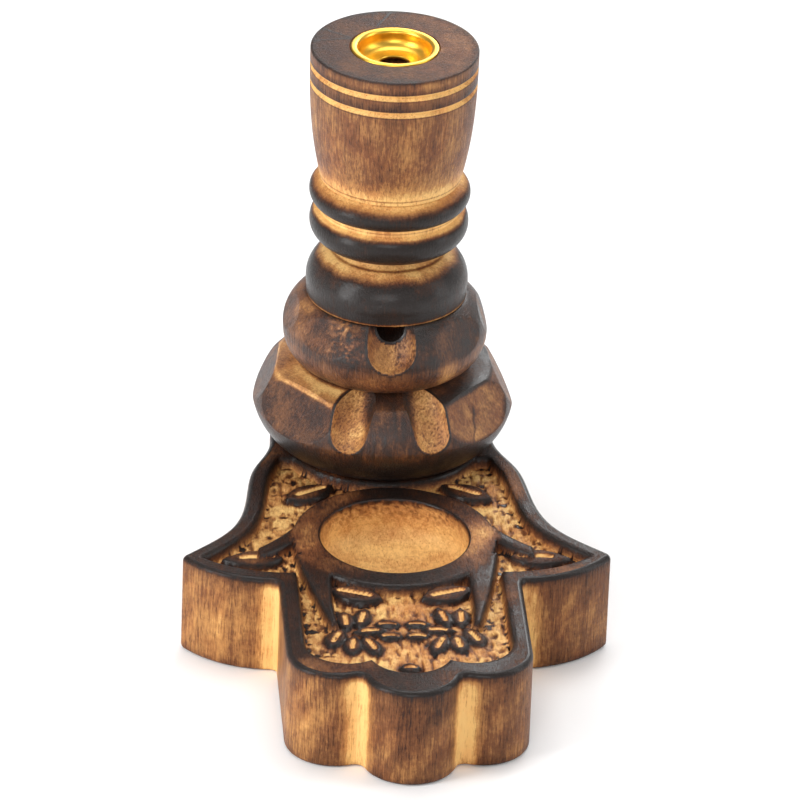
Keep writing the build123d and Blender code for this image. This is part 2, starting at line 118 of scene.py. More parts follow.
class BurnerFinish(bpy.types.PropertyGroup):
    """Colours of the wood at each stage of torching, and of the cup."""

    bare: bpy.props.FloatVectorProperty(
        name="Bare wood", description="Freshly cut wood", subtype="COLOR",
        size=4, min=0, max=1, default=(0.88, 0.55, 0.20, 1),
    )
    golden: bpy.props.FloatVectorProperty(
        name="Golden wood", description="Wood that the flame has only warmed", subtype="COLOR",
        size=4, min=0, max=1, default=(0.52, 0.250, 0.078, 1),
    )
    toasted: bpy.props.FloatVectorProperty(
        name="Toasted wood", description="Wood browned by the flame", subtype="COLOR",
        size=4, min=0, max=1, default=(0.190, 0.074, 0.027, 1),
    )
    scorched: bpy.props.FloatVectorProperty(
        name="Scorched wood", description="Dark brown wood next to the char", subtype="COLOR",
        size=4, min=0, max=1, default=(0.046, 0.0165, 0.0075, 1),
    )
    charred: bpy.props.FloatVectorProperty(
        name="Charred wood", description="Fully burnt and rubbed wood", subtype="COLOR",
        size=4, min=0, max=1, default=(0.0125, 0.0080, 0.0065, 1),
    )
    gilt: bpy.props.FloatVectorProperty(
        name="Gilt metal", description="Colour of the pressed cup", subtype="COLOR",
        size=4, min=0, max=1, default=(0.93, 0.57, 0.075, 1),
    )


# ------------------------------------------------------------------ mesh helpers
def read(bm):
    """Places of all vertices as an array."""
    return np.array([v.co[:] for v in bm.verts], float).reshape(-1, 3)


def write(bm, places):
    """Put all vertices at the given places."""
    for vertex, place in zip(bm.verts, places):
        vertex.co = place


def ripple(places, size, seed=0.0):
    """Smooth noise between about -1 and 1 with features of the given size, one value a place."""
    offset = Vector((seed * 7.1, seed * 3.7, seed * 5.3))
    scale = 1 / size
    return np.array([noise.noise(Vector(p) * scale + offset) for p in places])


def ramp(value, low, high):
    """Smooth step from 0 at low to 1 at high."""
    share = np.clip((value - low) / (high - low), 0, 1)
    return share * share * (3 - 2 * share)


def slide_to_line(bm, level_of):
    """Slide the nearest vertices onto the line where level_of is zero, and split the faces along it."""
    bm.verts.ensure_lookup_table()
    bm.verts.index_update()
    places = read(bm)
    level = level_of(places)
    ends = np.array([[v.index for v in e.verts] for e in bm.edges])
    first, second = ends[:, 0], ends[:, 1]
    crossing = level[first] * level[second] < 0
    first, second = first[crossing], second[crossing]
    share = level[first] / (level[first] - level[second])
    near = np.where(share < 0.5, first, second)
    meeting = places[first] + share[:, None] * (places[second] - places[first])
    travel = np.linalg.norm(meeting - places[near], axis=1)
    order = np.argsort(-travel)
    places[near[order]] = meeting[order]
    write(bm, places)
    moved = sorted(set(near.tolist()))
    bmesh.ops.connect_verts(bm, verts=[bm.verts[i] for i in moved])
    return moved


def arc(start, middle, end, steps):
    """Points on the circle through three (radius, height) points, without the first."""
    (ax, ay), (bx, by), (cx, cy) = start, middle, end
    d = 2 * (ax * (by - cy) + bx * (cy - ay) + cx * (ay - by))
    a2, b2, c2 = ax * ax + ay * ay, bx * bx + by * by, cx * cx + cy * cy
    ux = (a2 * (by - cy) + b2 * (cy - ay) + c2 * (ay - by)) / d
    uy = (a2 * (cx - bx) + b2 * (ax - cx) + c2 * (bx - ax)) / d
    turn_from = math.atan2(ay - uy, ax - ux)
    through = (math.atan2(by - uy, bx - ux) - turn_from) % math.tau
    sweep = (math.atan2(cy - uy, cx - ux) - turn_from) % math.tau
    if through > sweep:
        sweep -= math.tau
    radius = math.hypot(ax - ux, ay - uy)
    angles = [turn_from + sweep * i / steps for i in range(1, steps + 1)]
    return [(ux + radius * math.cos(a), uy + radius * math.sin(a)) for a in angles]


def straight(start, end, steps):
    """Evenly spaced (radius, height) points from start to end, without the first."""
    return [
        (start[0] + (end[0] - start[0]) * i / steps, start[1] + (end[1] - start[1]) * i / steps)
        for i in range(1, steps + 1)
    ]


def turn(profile, foot, front_steps=None):
    """Spin an outline of (radius, height above foot) pairs about the column axis.

    With front_steps, the quarter to each side of the front is turned in that many finer steps.
    """
    bm = bmesh.new()
    points = [bm.verts.new((0, column_y - r, foot + z)) for r, z in profile]
    outline = [bm.edges.new(pair) for pair in zip(points, points[1:])]
    if (Vector(profile[0]) - Vector(profile[-1])).length > 1e-7 and profile[0][0] > 1e-7:
        outline.append(bm.edges.new((points[-1], points[0])))
    around = round(math.tau * max(r for r, _ in profile) / (0.7 * MM))
    sectors = [(math.tau, around)]
    if front_steps:
        half = math.radians(52)
        bmesh.ops.rotate(
            bm, verts=points, cent=(0, column_y, 0), matrix=Matrix.Rotation(-half, 3, "Z")
        )
        sectors = [(2 * half, front_steps), (math.tau - 2 * half, around * 5 // 8)]
    geometry = points + outline
    for angle, steps in sectors:
        spun = bmesh.ops.spin(
            bm, geom=geometry, cent=(0, column_y, 0), axis=(0, 0, 1), angle=angle,
            steps=steps, use_merge=False, use_duplicate=False,
        )
        geometry = spun["geom_last"]
    bmesh.ops.remove_doubles(bm, verts=bm.verts, dist=0.002 * MM)
    bmesh.ops.recalc_face_normals(bm, faces=bm.faces)
    return bm


def finish_piece(bm, name, body, material, marks=None, replaces=(), sharp=38):
    """Make the mesh an object with its wood marks, its finish and its place in the frame."""
    mesh = bpy.data.meshes.new(name)
    bm.to_mesh(mesh)
    bm.free()
    for label, values in (marks or {}).items():
        attribute = mesh.attributes.new(label, "FLOAT", "POINT")
        attribute.data.foreach_set("value", np.asarray(values, np.float32))
    mesh.shade_smooth()
    mesh.set_sharp_from_angle(angle=math.radians(sharp))
    piece = bpy.data.objects.new(name, mesh)
    bpy.context.scene.collection.objects.link(piece)
    piece.data.materials.append(material)
    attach(piece, body)
    if replaces:
        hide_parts(*replaces)
    return piece


# ------------------------------------------------------------------ outlines of the base, from the CAD
def level_outlines(node, height):
    """Closed outlines where a level plane cuts a node, widest first, as arrays of (x, y)."""
    bm = bmesh.new()
    bm.from_mesh(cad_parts[node].data)
    bmesh.ops.remove_doubles(bm, verts=bm.verts, dist=1e-6)
    bmesh.ops.bisect_plane(
        bm, geom=bm.verts[:] + bm.edges[:] + bm.faces[:], plane_co=(0, 0, height),
        plane_no=(0, 0, 1), clear_inner=True, clear_outer=True,
    )
    bmesh.ops.remove_doubles(bm, verts=bm.verts, dist=1e-6)
    left, loops = set(bm.edges), []
    while left:
        edge = min(left, key=lambda e: e.verts[0].co.y)
        left.discard(edge)
        start, here = edge.verts
        loop = [start.co.copy()]
        while here is not start:
            loop.append(here.co.copy())
            edge = next(e for e in here.link_edges if e in left)
            left.discard(edge)
            here = edge.other_vert(here)
        loops.append(np.array(loop)[:, :2])
    bm.free()
    return sorted(loops, key=lambda loop: -np.ptp(loop[:, 0]))


def anticlockwise(loop):
    """The loop in the order that keeps its inside on the left."""
    ahead = np.roll(loop, -1, axis=0)
    area = np.sum(loop[:, 0] * ahead[:, 1] - ahead[:, 0] * loop[:, 1])
    return loop if area > 0 else loop[::-1]


def evenly(loop, pitch):
    """The same closed loop with points at an even pitch."""
    loop = anticlockwise(loop)
    closed = np.vstack([loop, loop[:1]])
    run = np.concatenate([[0], np.cumsum(np.linalg.norm(np.diff(closed, axis=0), axis=1))])
    count = round(run[-1] / pitch)
    where = np.linspace(0, run[-1], count, endpoint=False)
    return np.column_stack([np.interp(where, run, closed[:, i]) for i in (0, 1)])


def outward_of(loop):
    """Unit vectors that point out of an anticlockwise loop, one a point."""
    along = np.roll(loop, -1, axis=0) - np.roll(loop, 1, axis=0)
    normal = np.column_stack([along[:, 1], -along[:, 0]])
    return normal / np.linalg.norm(normal, axis=1)[:, None]


def depth_inside(loop, places):
    """Distance from a closed loop for each place, positive inside it."""
    fine = evenly(loop, 0.12 * MM)
    out = outward_of(fine)
    tree = kdtree.KDTree(len(fine))
    for i, point in enumerate(fine):
        tree.insert((point[0], point[1], 0), i)
    tree.balance()
    nearest = np.array([tree.find((x, y, 0))[1] for x, y in places[:, :2]])
    gap = places[:, :2] - fine[nearest]
    side = np.sign(np.einsum("ij,ij->i", gap, out[nearest]))
    along = np.column_stack([-out[nearest][:, 1], out[nearest][:, 0]])
    slip = np.einsum("ij,ij->i", gap, along)
    straight_off = np.abs(np.einsum("ij,ij->i", gap, out[nearest]))
    far = np.linalg.norm(gap, axis=1)
    close = np.abs(slip) < 0.1 * MM
    return -side * np.where(close, straight_off, far)


wall_loops = level_outlines("hamsa_base", board_top - 2 * MM)
hand_loop, recess_loop, ornament_loop, bowl_loop = wall_loops[:4]
bowl_y = (bowl_loop[:, 1].min() + bowl_loop[:, 1].max()) / 2
bowl_radius = np.ptp(bowl_loop[:, 0]) / 2


# ------------------------------------------------------------------ shader node groups
class Nodes:
    """Short way to add and join nodes in one tree."""

    def __init__(self, tree):
        self.tree = tree

    def add(self, kind, **settings):
        node = self.tree.nodes.new("ShaderNode" + kind)
        for key, value in settings.items():
            setattr(node, key, value)
        return node

    def join(self, source, target):
        self.tree.links.new(source, target)

    def fill(self, node, values):
        for key, value in values.items():
            if isinstance(value, bpy.types.NodeSocket):
                self.join(value, node.inputs[key])
            else:
                node.inputs[key].default_value = value
        return node

    def math(self, operation, a, b=0.0, c=0.0, clamp=False):
        node = self.add("Math", operation=operation, use_clamp=clamp)
        return self.fill(node, {0: a, 1: b, 2: c}).outputs[0]

    def noise(self, vector, scale, detail=3.0, roughness=0.55, distortion=0.0):
        node = self.add("TexNoise")
        self.fill(node, {"Vector": vector, "Scale": scale, "Detail": detail})
        return self.fill(node, {"Roughness": roughness, "Distortion": distortion}).outputs["Fac"]

    def stretch(self, vector, scale, place=(0, 0, 0)):
        node = self.add("Mapping")
        return self.fill(node, {"Vector": vector, "Scale": scale, "Location": place}).outputs[0]

    def span(self, value, low, high, out_low=0.0, out_high=1.0, clamp=True, smooth=False):
        node = self.add("MapRange", clamp=clamp)
        if smooth:
            node.interpolation_type = "SMOOTHSTEP"
        given = {"Value": value, "From Min": low, "From Max": high}
        self.fill(node, {**given, "To Min": out_low, "To Max": out_high})
        return node.outputs["Result"]

    def mix(self, share, a, b, blend="MIX"):
        node = self.add("Mix", data_type="RGBA", blend_type=blend)
        self.fill(node, {0: share, 6: a, 7: b})
        return node.outputs[2]

    def colours(self, value, stops):
        node = self.add("ValToRGB")
        elements = node.color_ramp.elements
        while len(elements) < len(stops):
            elements.new(1.0)
        for element, (place, colour) in zip(elements, stops):
            element.position = place
            element.color = colour
        self.fill(node, {"Fac": value})
        return node.outputs["Color"]


def start_group(name, inputs, outputs):
    """Shader group with named sockets: returns the tree, a node helper, its input and output nodes."""
    tree = bpy.data.node_groups.new(name, "ShaderNodeTree")
    for label, kind, value in inputs:
        socket = tree.interface.new_socket(label, in_out="INPUT", socket_type="NodeSocket" + kind)
        if value is not None:
            socket.default_value = value
    for label, kind in outputs:
        tree.interface.new_socket(label, in_out="OUTPUT", socket_type="NodeSocket" + kind)
    return tree, Nodes(tree), tree.nodes.new("NodeGroupInput"), tree.nodes.new("NodeGroupOutput")


def wood_figure_group():
    """Long fibres, fine pores and slow colour bands of the wood, along the given grain scale."""
    tree, n, given, result = start_group(
        "wood_figure",
        [("Vector", "Vector", None), ("Grain", "Vector", (1.0, 1.0, 0.1)), ("Seed", "Float", 0.0)],
        [("Fibres", "Float"), ("Pores", "Float"), ("Bands", "Float"), ("Blotches", "Float")],
    )
    along = n.add("VectorMath", operation="MULTIPLY")
    n.fill(along, {0: given.outputs["Vector"], 1: given.outputs["Grain"]})
    shift = n.add("CombineXYZ")
    n.fill(shift, {"X": given.outputs["Seed"], "Y": given.outputs["Seed"], "Z": given.outputs["Seed"]})
    moved = n.add("VectorMath", operation="ADD")
    n.fill(moved, {0: along.outputs[0], 1: shift.outputs[0]})
    grain = moved.outputs[0]
    free = n.add("VectorMath", operation="ADD")
    n.fill(free, {0: given.outputs["Vector"], 1: shift.outputs[0]})
    fibres = n.noise(grain, 1700.0, 5.0, 0.7)
    n.join(n.span(fibres, 0.30, 0.70), result.inputs["Fibres"])
    pores = n.noise(grain, 3200.0, 2.0, 0.6)
    n.join(n.span(pores, 0.58, 0.68), result.inputs["Pores"])
    bands = n.noise(grain, 210.0, 3.0, 0.55, 0.6)
    n.join(n.span(bands, 0.28, 0.72), result.inputs["Bands"])
    blotches = n.noise(free.outputs[0], 95.0, 4.0, 0.6)
    n.join(n.span(blotches, 0.28, 0.72), result.inputs["Blotches"])
    return tree


def torch_group(finish):
    """Turns a torching level into burnt-wood colour, roughness and surface height."""
    tree, n, given, result = start_group(
        "torched_wood",
        [
            ("Torch", "Float", 0.5), ("Fibres", "Float", 0.5), ("Pores", "Float", 0.0),
            ("Bands", "Float", 0.5), ("Blotches", "Float", 0.5), ("Patchiness", "Float", 0.3),
            ("Streakiness", "Float", 0.2), ("Redness", "Float", 0.3), ("Vector", "Vector", None),
        ],
        [("Color", "Color"), ("Roughness", "Float"), ("Height", "Float"), ("Burn", "Float")],
    )
    g = given.outputs
    speckle = n.noise(g["Vector"], 700.0, 3.0, 0.7)
    patch = n.math("MULTIPLY", n.math("SUBTRACT", g["Blotches"], 0.5), g["Patchiness"])
    streak = n.math("MULTIPLY", n.math("SUBTRACT", g["Fibres"], 0.5), g["Streakiness"])
    band = n.math("MULTIPLY", n.math("SUBTRACT", g["Bands"], 0.5), n.math("MULTIPLY", g["Streakiness"], 0.55))
    grit = n.math("MULTIPLY", n.math("SUBTRACT", speckle, 0.5), 0.30)
    burn = n.math("ADD", g["Torch"], patch)
    burn = n.math("ADD", burn, streak)
    burn = n.math("ADD", burn, band)
    burn = n.math("ADD", burn, grit)
    burn = n.math("MULTIPLY_ADD", g["Pores"], 0.15, burn, clamp=True)
    colour = n.colours(
        burn,
        [
            (0.02, tuple(finish.bare)), (0.24, tuple(finish.golden)), (0.50, tuple(finish.toasted)),
            (0.74, tuple(finish.scorched)), (0.93, tuple(finish.charred)),
        ],
    )
    reddish = n.mix(1.0, colour, (1.0, 0.72, 0.66, 1), "MULTIPLY")
    share = n.math("MULTIPLY", g["Redness"], n.span(g["Blotches"], 0.35, 0.75))
    colour = n.mix(share, colour, reddish)
    n.join(colour, result.inputs["Color"])
    rough = n.span(burn, 0.1, 0.9, 0.50, 0.36)
    rough = n.math("MULTIPLY_ADD", n.math("SUBTRACT", g["Fibres"], 0.5), 0.16, rough)
    n.join(rough, result.inputs["Roughness"])
    crackle = n.noise(g["Vector"], 1500.0, 4.0, 0.7)
    height = n.math("MULTIPLY", crackle, n.span(burn, 0.5, 0.95, 0.2, 1.6))
    height = n.math("MULTIPLY_ADD", g["Fibres"], 0.5, height)
    height = n.math("MULTIPLY_ADD", g["Pores"], -0.5, height)
    n.join(height, result.inputs["Height"])
    n.join(burn, result.inputs["Burn"])
    return tree


def wood(name, grain, seed, patchiness, streakiness, redness, bump=0.16, ior=1.28):
    """Torched wood that reads the piece's own torch mark, with its grain along one axis."""
    material = bpy.data.materials.new(name)
    material.use_nodes = True
    tree = material.node_tree
    tree.nodes.clear()
    n = Nodes(tree)
    place = n.add("TexCoord").outputs["Object"]
    figure = n.add("Group", node_tree=bpy.data.node_groups["wood_figure"])
    n.fill(figure, {"Vector": place, "Grain": grain, "Seed": seed})
    torch = n.add("Attribute", attribute_name="torch").outputs["Fac"]
    burnt = n.add("Group", node_tree=bpy.data.node_groups["torched_wood"])
    n.fill(burnt, {label: figure.outputs[label] for label in ("Fibres", "Pores", "Bands", "Blotches")})
    n.fill(burnt, {"Torch": torch, "Vector": place, "Patchiness": patchiness})
    n.fill(burnt, {"Streakiness": streakiness, "Redness": redness})
    bump_node = n.add("Bump")
    n.fill(bump_node, {"Strength": 1.0, "Distance": bump * MM, "Height": burnt.outputs["Height"]})
    shader = n.add("BsdfPrincipled")
    n.fill(shader, {"Base Color": burnt.outputs["Color"], "Roughness": burnt.outputs["Roughness"]})
    n.fill(shader, {"Normal": bump_node.outputs["Normal"], "IOR": ior})
    sheen = n.span(burnt.outputs["Burn"], 0.72, 0.97, 0.02, 0.28)
    n.fill(shader, {"Coat Weight": sheen, "Coat Roughness": 0.24})
    n.join(shader.outputs[0], n.add("OutputMaterial").inputs["Surface"])
    return material


def gilt_metal(finish):
    """Gold-coloured pressed metal with fine turning marks and slight tarnish."""
    material = bpy.data.materials.new("gilt_cup")
    material.use_nodes = True
    tree = material.node_tree
    tree.nodes.clear()
    n = Nodes(tree)
    place = n.add("TexCoord").outputs["Object"]
    haze = n.noise(place, 260.0, 4.0, 0.6)
    scuff = n.noise(n.stretch(place, (1, 1, 6)), 1800.0, 3.0, 0.6)
    dull = n.mix(0.65, tuple(finish.gilt), (0.62, 0.40, 0.07, 1))
    colour = n.mix(n.span(haze, 0.35, 0.75, 0.0, 0.6), tuple(finish.gilt), dull)
    rough = n.span(haze, 0.2, 0.8, 0.27, 0.40)
    bump_node = n.add("Bump")
    n.fill(bump_node, {"Strength": 0.3, "Distance": 0.02 * MM, "Height": scuff})
    shader = n.add("BsdfPrincipled")
    n.fill(shader, {"Base Color": colour, "Roughness": rough, "Metallic": 1.0})
    n.fill(shader, {"Normal": bump_node.outputs["Normal"]})
    n.join(shader.outputs[0], n.add("OutputMaterial").inputs["Surface"])
    return material


def zinc_steel():
    """Zinc-plated screw steel with a fine uneven sheen."""
    material = bpy.data.materials.new("zinc_steel")
    material.use_nodes = True
    tree = material.node_tree
    tree.nodes.clear()
    n = Nodes(tree)
    place = n.add("TexCoord").outputs["Object"]
    haze = n.noise(place, 900.0, 4.0, 0.6)
    colour = n.mix(haze, (0.50, 0.50, 0.49, 1), (0.66, 0.65, 0.60, 1))
    shader = n.add("BsdfPrincipled")
    n.fill(shader, {"Base Color": colour, "Roughness": n.span(haze, 0.2, 0.8, 0.3, 0.5)})
    n.fill(shader, {"Metallic": 1.0})
    n.join(shader.outputs[0], n.add("OutputMaterial").inputs["Surface"])
    return material


def prepare_finishes():
    """Build the shared groups and every finish once."""
    finish = bpy.context.scene.burner_finish
    wood_figure_group()
    torch_group(finish)
    up = (1.0, 1.0, 0.09)
    level = (1.0, 0.22, 1.0)
    wood("board_wood", up, 1.0, 0.14, 0.24, 0.30)
    wood("palm_wood", level, 2.0, 0.26, 0.20, 0.45, 0.22)
    wood("bowl_wood", level, 3.0, 0.16, 0.14, 0.2, 0.10)
    wood("lower_disc_wood", up, 4.0, 0.28, 0.22, 0.4, ior=1.45)
    wood("upper_disc_wood", up, 5.0, 0.30, 0.24, 0.4, ior=1.45)
    wood("dome_wood", up, 6.0, 0.34, 0.24, 0.4, ior=1.34)
    wood("bead_wood", up, 7.0, 0.26, 0.16, 0.4)
    wood("barrel_wood", up, 8.0, 0.16, 0.24, 0.40, ior=1.36)
    wood("dowel_wood", up, 9.0, 0.1, 0.1, 0.1)
    gilt_metal(finish)
    zinc_steel()


def finish_named(name):
    """The finish of that name, with all finishes made on first use."""
    if "board_wood" not in bpy.data.materials:
        prepare_finishes()
    return bpy.data.materials[name]


# ------------------------------------------------------------------ the board
class BURNER_OT_saw_board(bpy.types.Operator):
    """Saw the hand-shaped board and round its edges."""

    bl_idname = "burner.saw_board"
    bl_label = "Saw the board"

    def execute(self, context):
        sizes = context.scene.burner_sizes
        loop = evenly(hand_loop, 0.62 * MM)
        out = outward_of(loop)
        count = len(loop)
        top, low = sizes.edge_round, 1.4 * MM
        steps = [(low * (1 - math.sin(a)), low * (1 - math.cos(a)))
                 for a in np.linspace(0, math.pi / 2, 5)]
        rows = 20
        steps += [(0, low + (board_top - low - top) * i / rows) for i in range(1, rows + 1)]
        steps += [(top * (1 - math.cos(a)), board_top - top * (1 - math.sin(a)))
                  for a in np.linspace(0, math.pi / 2, 8)[1:]]
        steps += [(top + 0.6 * MM, board_top - 0.2 * MM), (top + 0.9 * MM, board_top - 15 * MM)]
        bm = bmesh.new()
        first = [bm.verts.new((x, y, 0)) for x, y in loop]
        edges = [bm.edges.new((first[i], first[(i + 1) % count])) for i in range(count)]
        bottom = list(edges)
        rings = [first]
        for _ in steps[1:]:
            made = bmesh.ops.extrude_edge_only(bm, edges=edges)["geom"]
            edges = [g for g in made if isinstance(g, bmesh.types.BMEdge) and g.is_boundary]
            edges = [e for e in edges if e not in bottom]
            rings.append([g for g in made if isinstance(g, bmesh.types.BMVert)])
        for ring, (inset, height) in zip(rings, steps):
            for i, vertex in enumerate(ring):
                x, y = loop[i] - out[i] * inset
                vertex.co = (x, y, height)
        for node in ("base_screw_left", "base_screw_right"):
            bottom += self.screw_hole(bm, node)
        bmesh.ops.triangle_fill(bm, edges=bottom, normal=(0, 0, -1))
        bmesh.ops.contextual_create(bm, geom=edges)
        bmesh.ops.triangulate(bm, faces=[f for f in bm.faces if len(f.verts) > 4])
        bmesh.ops.recalc_face_normals(bm, faces=bm.faces)
        places = read(bm)
        torch = self.torching(places, loop)
        piece = finish_piece(
            bm, "hand_board", "burner", finish_named("board_wood"),
            {"torch": torch}, ("hamsa_base",),
        )
        return {"FINISHED"}

    def screw_hole(self, bm, node):
        """Bore the countersunk hole round one screw and give the edges of its mouth."""
        low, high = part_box(node)
        centre = Vector(((low.x + high.x) / 2, (low.y + high.y) / 2, 0))
        head = (high.x - low.x) / 2 + 0.25 * MM
        shank = head * 0.56
        mouth = bmesh.ops.create_circle(
            bm, segments=48, radius=head, matrix=Matrix.Translation(centre)
        )["verts"]
        edges = mouth_edges = list({edge for vertex in mouth for edge in vertex.link_edges})
        steps = ((head, low.z), (shank, low.z + head - shank), (shank, 0.7 * board_top))
        for radius, height in steps:
            made = bmesh.ops.extrude_edge_only(bm, edges=edges)["geom"]
            ring = [g for g in made if isinstance(g, bmesh.types.BMVert)]
            edges = [e for e in made if isinstance(e, bmesh.types.BMEdge) and e.is_boundary]
            edges = [e for e in edges if e not in mouth_edges]
            for vertex in ring:
                out = (vertex.co - centre).to_2d().normalized() * radius
                vertex.co = (centre.x + out.x, centre.y + out.y, height)
        bmesh.ops.contextual_create(bm, geom=edges)
        return mouth_edges

    def torching(self, places, loop):
        """Tan walls, pale where two walls meet in a corner, dark under the upper edge, and darker from the far left
        towards the right as painted shade of the side away from the key light.
        """
        out = outward_of(loop)
        step = 4
        turn_here = np.cross(np.roll(out, step, axis=0), np.roll(out, -step, axis=0))
        corner = loop[turn_here < -0.55]
        tree = kdtree.KDTree(len(corner))
        for i, point in enumerate(corner):
            tree.insert((point[0], point[1], 0), i)
        tree.balance()
        gap = np.array([tree.find((p[0], p[1], 0))[2] for p in places])
        level = places[:, 2] / board_top
        torch = np.interp(level, [0, 0.02, 0.10, 0.5, 0.88, 0.95, 0.975, 1], [0.8, 0.55, 0.44, 0.40, 0.48, 0.6, 0.9, 0.98])
        torch += 0.10 * ripple(places * (1, 1, 0.3), 9 * MM, 1.0)
        slanting = np.column_stack([places[:, 0] - 0.9 * places[:, 2], places[:, 1], 0 * gap])
        # Darker from the far left towards the right: painted shade of the side turned away from the key light.
        torch += 0.09 * ripple(slanting, 5 * MM, 22) - 0.05 + 0.15 * ramp(places[:, 0], -48 * MM, -5 * MM)
        torch -= 0.46 * np.exp(-((gap / (2.3 * MM)) ** 2)) * (1 - ramp(level, 0.88, 0.97))
        return torch


# ------------------------------------------------------------------ carved palm
def leaf_level(places, blunt, tip, half_width, blunt_power=2.3, tip_power=1.6):
    """Rough distance inside a leaf drawn from its blunt end to its tip, positive inside."""
    blunt, tip = np.array(blunt), np.array(tip)
    middle = (blunt + tip) / 2
    half = np.linalg.norm(tip - blunt) / 2
    along = (tip - blunt) / (2 * half)
    gap = places[:, :2] - middle
    u = gap @ along / half
    v = np.abs(gap @ np.array([-along[1], along[0]]))
    power = np.where(u > 0, tip_power, blunt_power)
    beyond = np.clip(np.abs(u) - 1, 0, None) * half
    u = np.clip(np.abs(u), 0, 1)
    slope = half_width * power * u ** (power - 1) / half
    return (half_width * (1 - u**power) - v) / np.sqrt(1 + slope * slope) - beyond


def cut_level(places, start, end, half_width):
    """Distance inside a straight V cut with round ends, positive inside."""
    start, end = np.array(start), np.array(end)
    along = end - start
    share = np.clip((places[:, :2] - start) @ along / (along @ along), 0, 1)
    return half_width - np.linalg.norm(places[:, :2] - start - share[:, None] * along, axis=1)


def on_hand(side, half_width, reach):
    """A point given as its half width and its reach in front of the column axis, in millimetres."""
    return (side * half_width * MM, column_y - reach * MM)


def leaves():
    """Leaves as (blunt end, tip, half width) and the cut along each."""
    shapes, cuts = [], []
    for side in (-1, 1):
        shapes.append((on_hand(side, 32.0, 69.0), on_hand(side, 49.0, 70.2), 4.1 * MM))
        cuts.append((on_hand(side, 35.2, 69.1), on_hand(side, 43.4, 69.6), 1.15 * MM))
        shapes.append((on_hand(side, 29.2, 35.6), on_hand(side, 15.6, 27.2), 4.0 * MM))
        cuts.append((on_hand(side, 25.6, 33.2), on_hand(side, 18.4, 28.8), 1.15 * MM))
        shapes.append((on_hand(side, 5.6, 92.4), on_hand(side, 20.4, 86.8), 4.2 * MM))
        cuts.append((on_hand(side, 9.0, 91.0), on_hand(side, 17.0, 88.0), 1.15 * MM))
    for x, reach in ((-4.8, 105.2), (-4.3, 111.7), (3.3, 105.3), (3.1, 111.7)):
        lean = 0.25 if x < 0 else -0.25
        shapes.append((on_hand(1, x - 3.3, reach - lean), on_hand(1, x + 3.3, reach + lean), 1.9 * MM))
        cuts.append((on_hand(1, x - 1.9, reach), on_hand(1, x + 1.9, reach), 0.8 * MM))
    shapes.append((on_hand(1, -3.0, 129.4), on_hand(1, 2.6, 129.2), 2.3 * MM))
    cuts.append((on_hand(1, -1.4, 129.4), on_hand(1, 1.2, 129.2), 0.8 * MM))
    return shapes, cuts


def petals():
    """Petals of the two flowers as (blunt end, tip, half width) and the cut along each."""
    shapes, cuts = [], []
    drawn = (
        (-16.7, 98.4, -16.2, 108.6, 2.5), (-21.6, 117.8, -17.6, 108.0, 2.7),
        (-10.6, 97.0, -13.0, 107.2, 2.2), (-16.0, 121.6, -14.4, 111.6, 2.4),
        (-8.2, 122.0, -12.0, 111.4, 2.3), (-5.6, 108.4, -14.6, 109.6, 1.9),
        (15.9, 96.8, 15.6, 107.0, 2.5), (20.8, 117.4, 16.6, 107.6, 2.7),
        (9.7, 96.6, 12.2, 106.6, 2.2), (14.8, 121.0, 13.4, 111.0, 2.4),
        (6.9, 121.4, 11.0, 111.0, 2.3), (4.6, 108.2, 13.6, 109.0, 1.9),
    )
    for x1, f1, x2, f2, half_width in drawn:
        shapes.append((on_hand(1, x1, f1), on_hand(1, x2, f2), half_width * MM))
        x3, f3 = x1 + 0.28 * (x2 - x1), f1 + 0.28 * (f2 - f1)
        x4, f4 = x1 + 0.70 * (x2 - x1), f1 + 0.70 * (f2 - f1)
        cuts.append((on_hand(1, x3, f3), on_hand(1, x4, f4), 0.9 * MM))
    return shapes, cuts


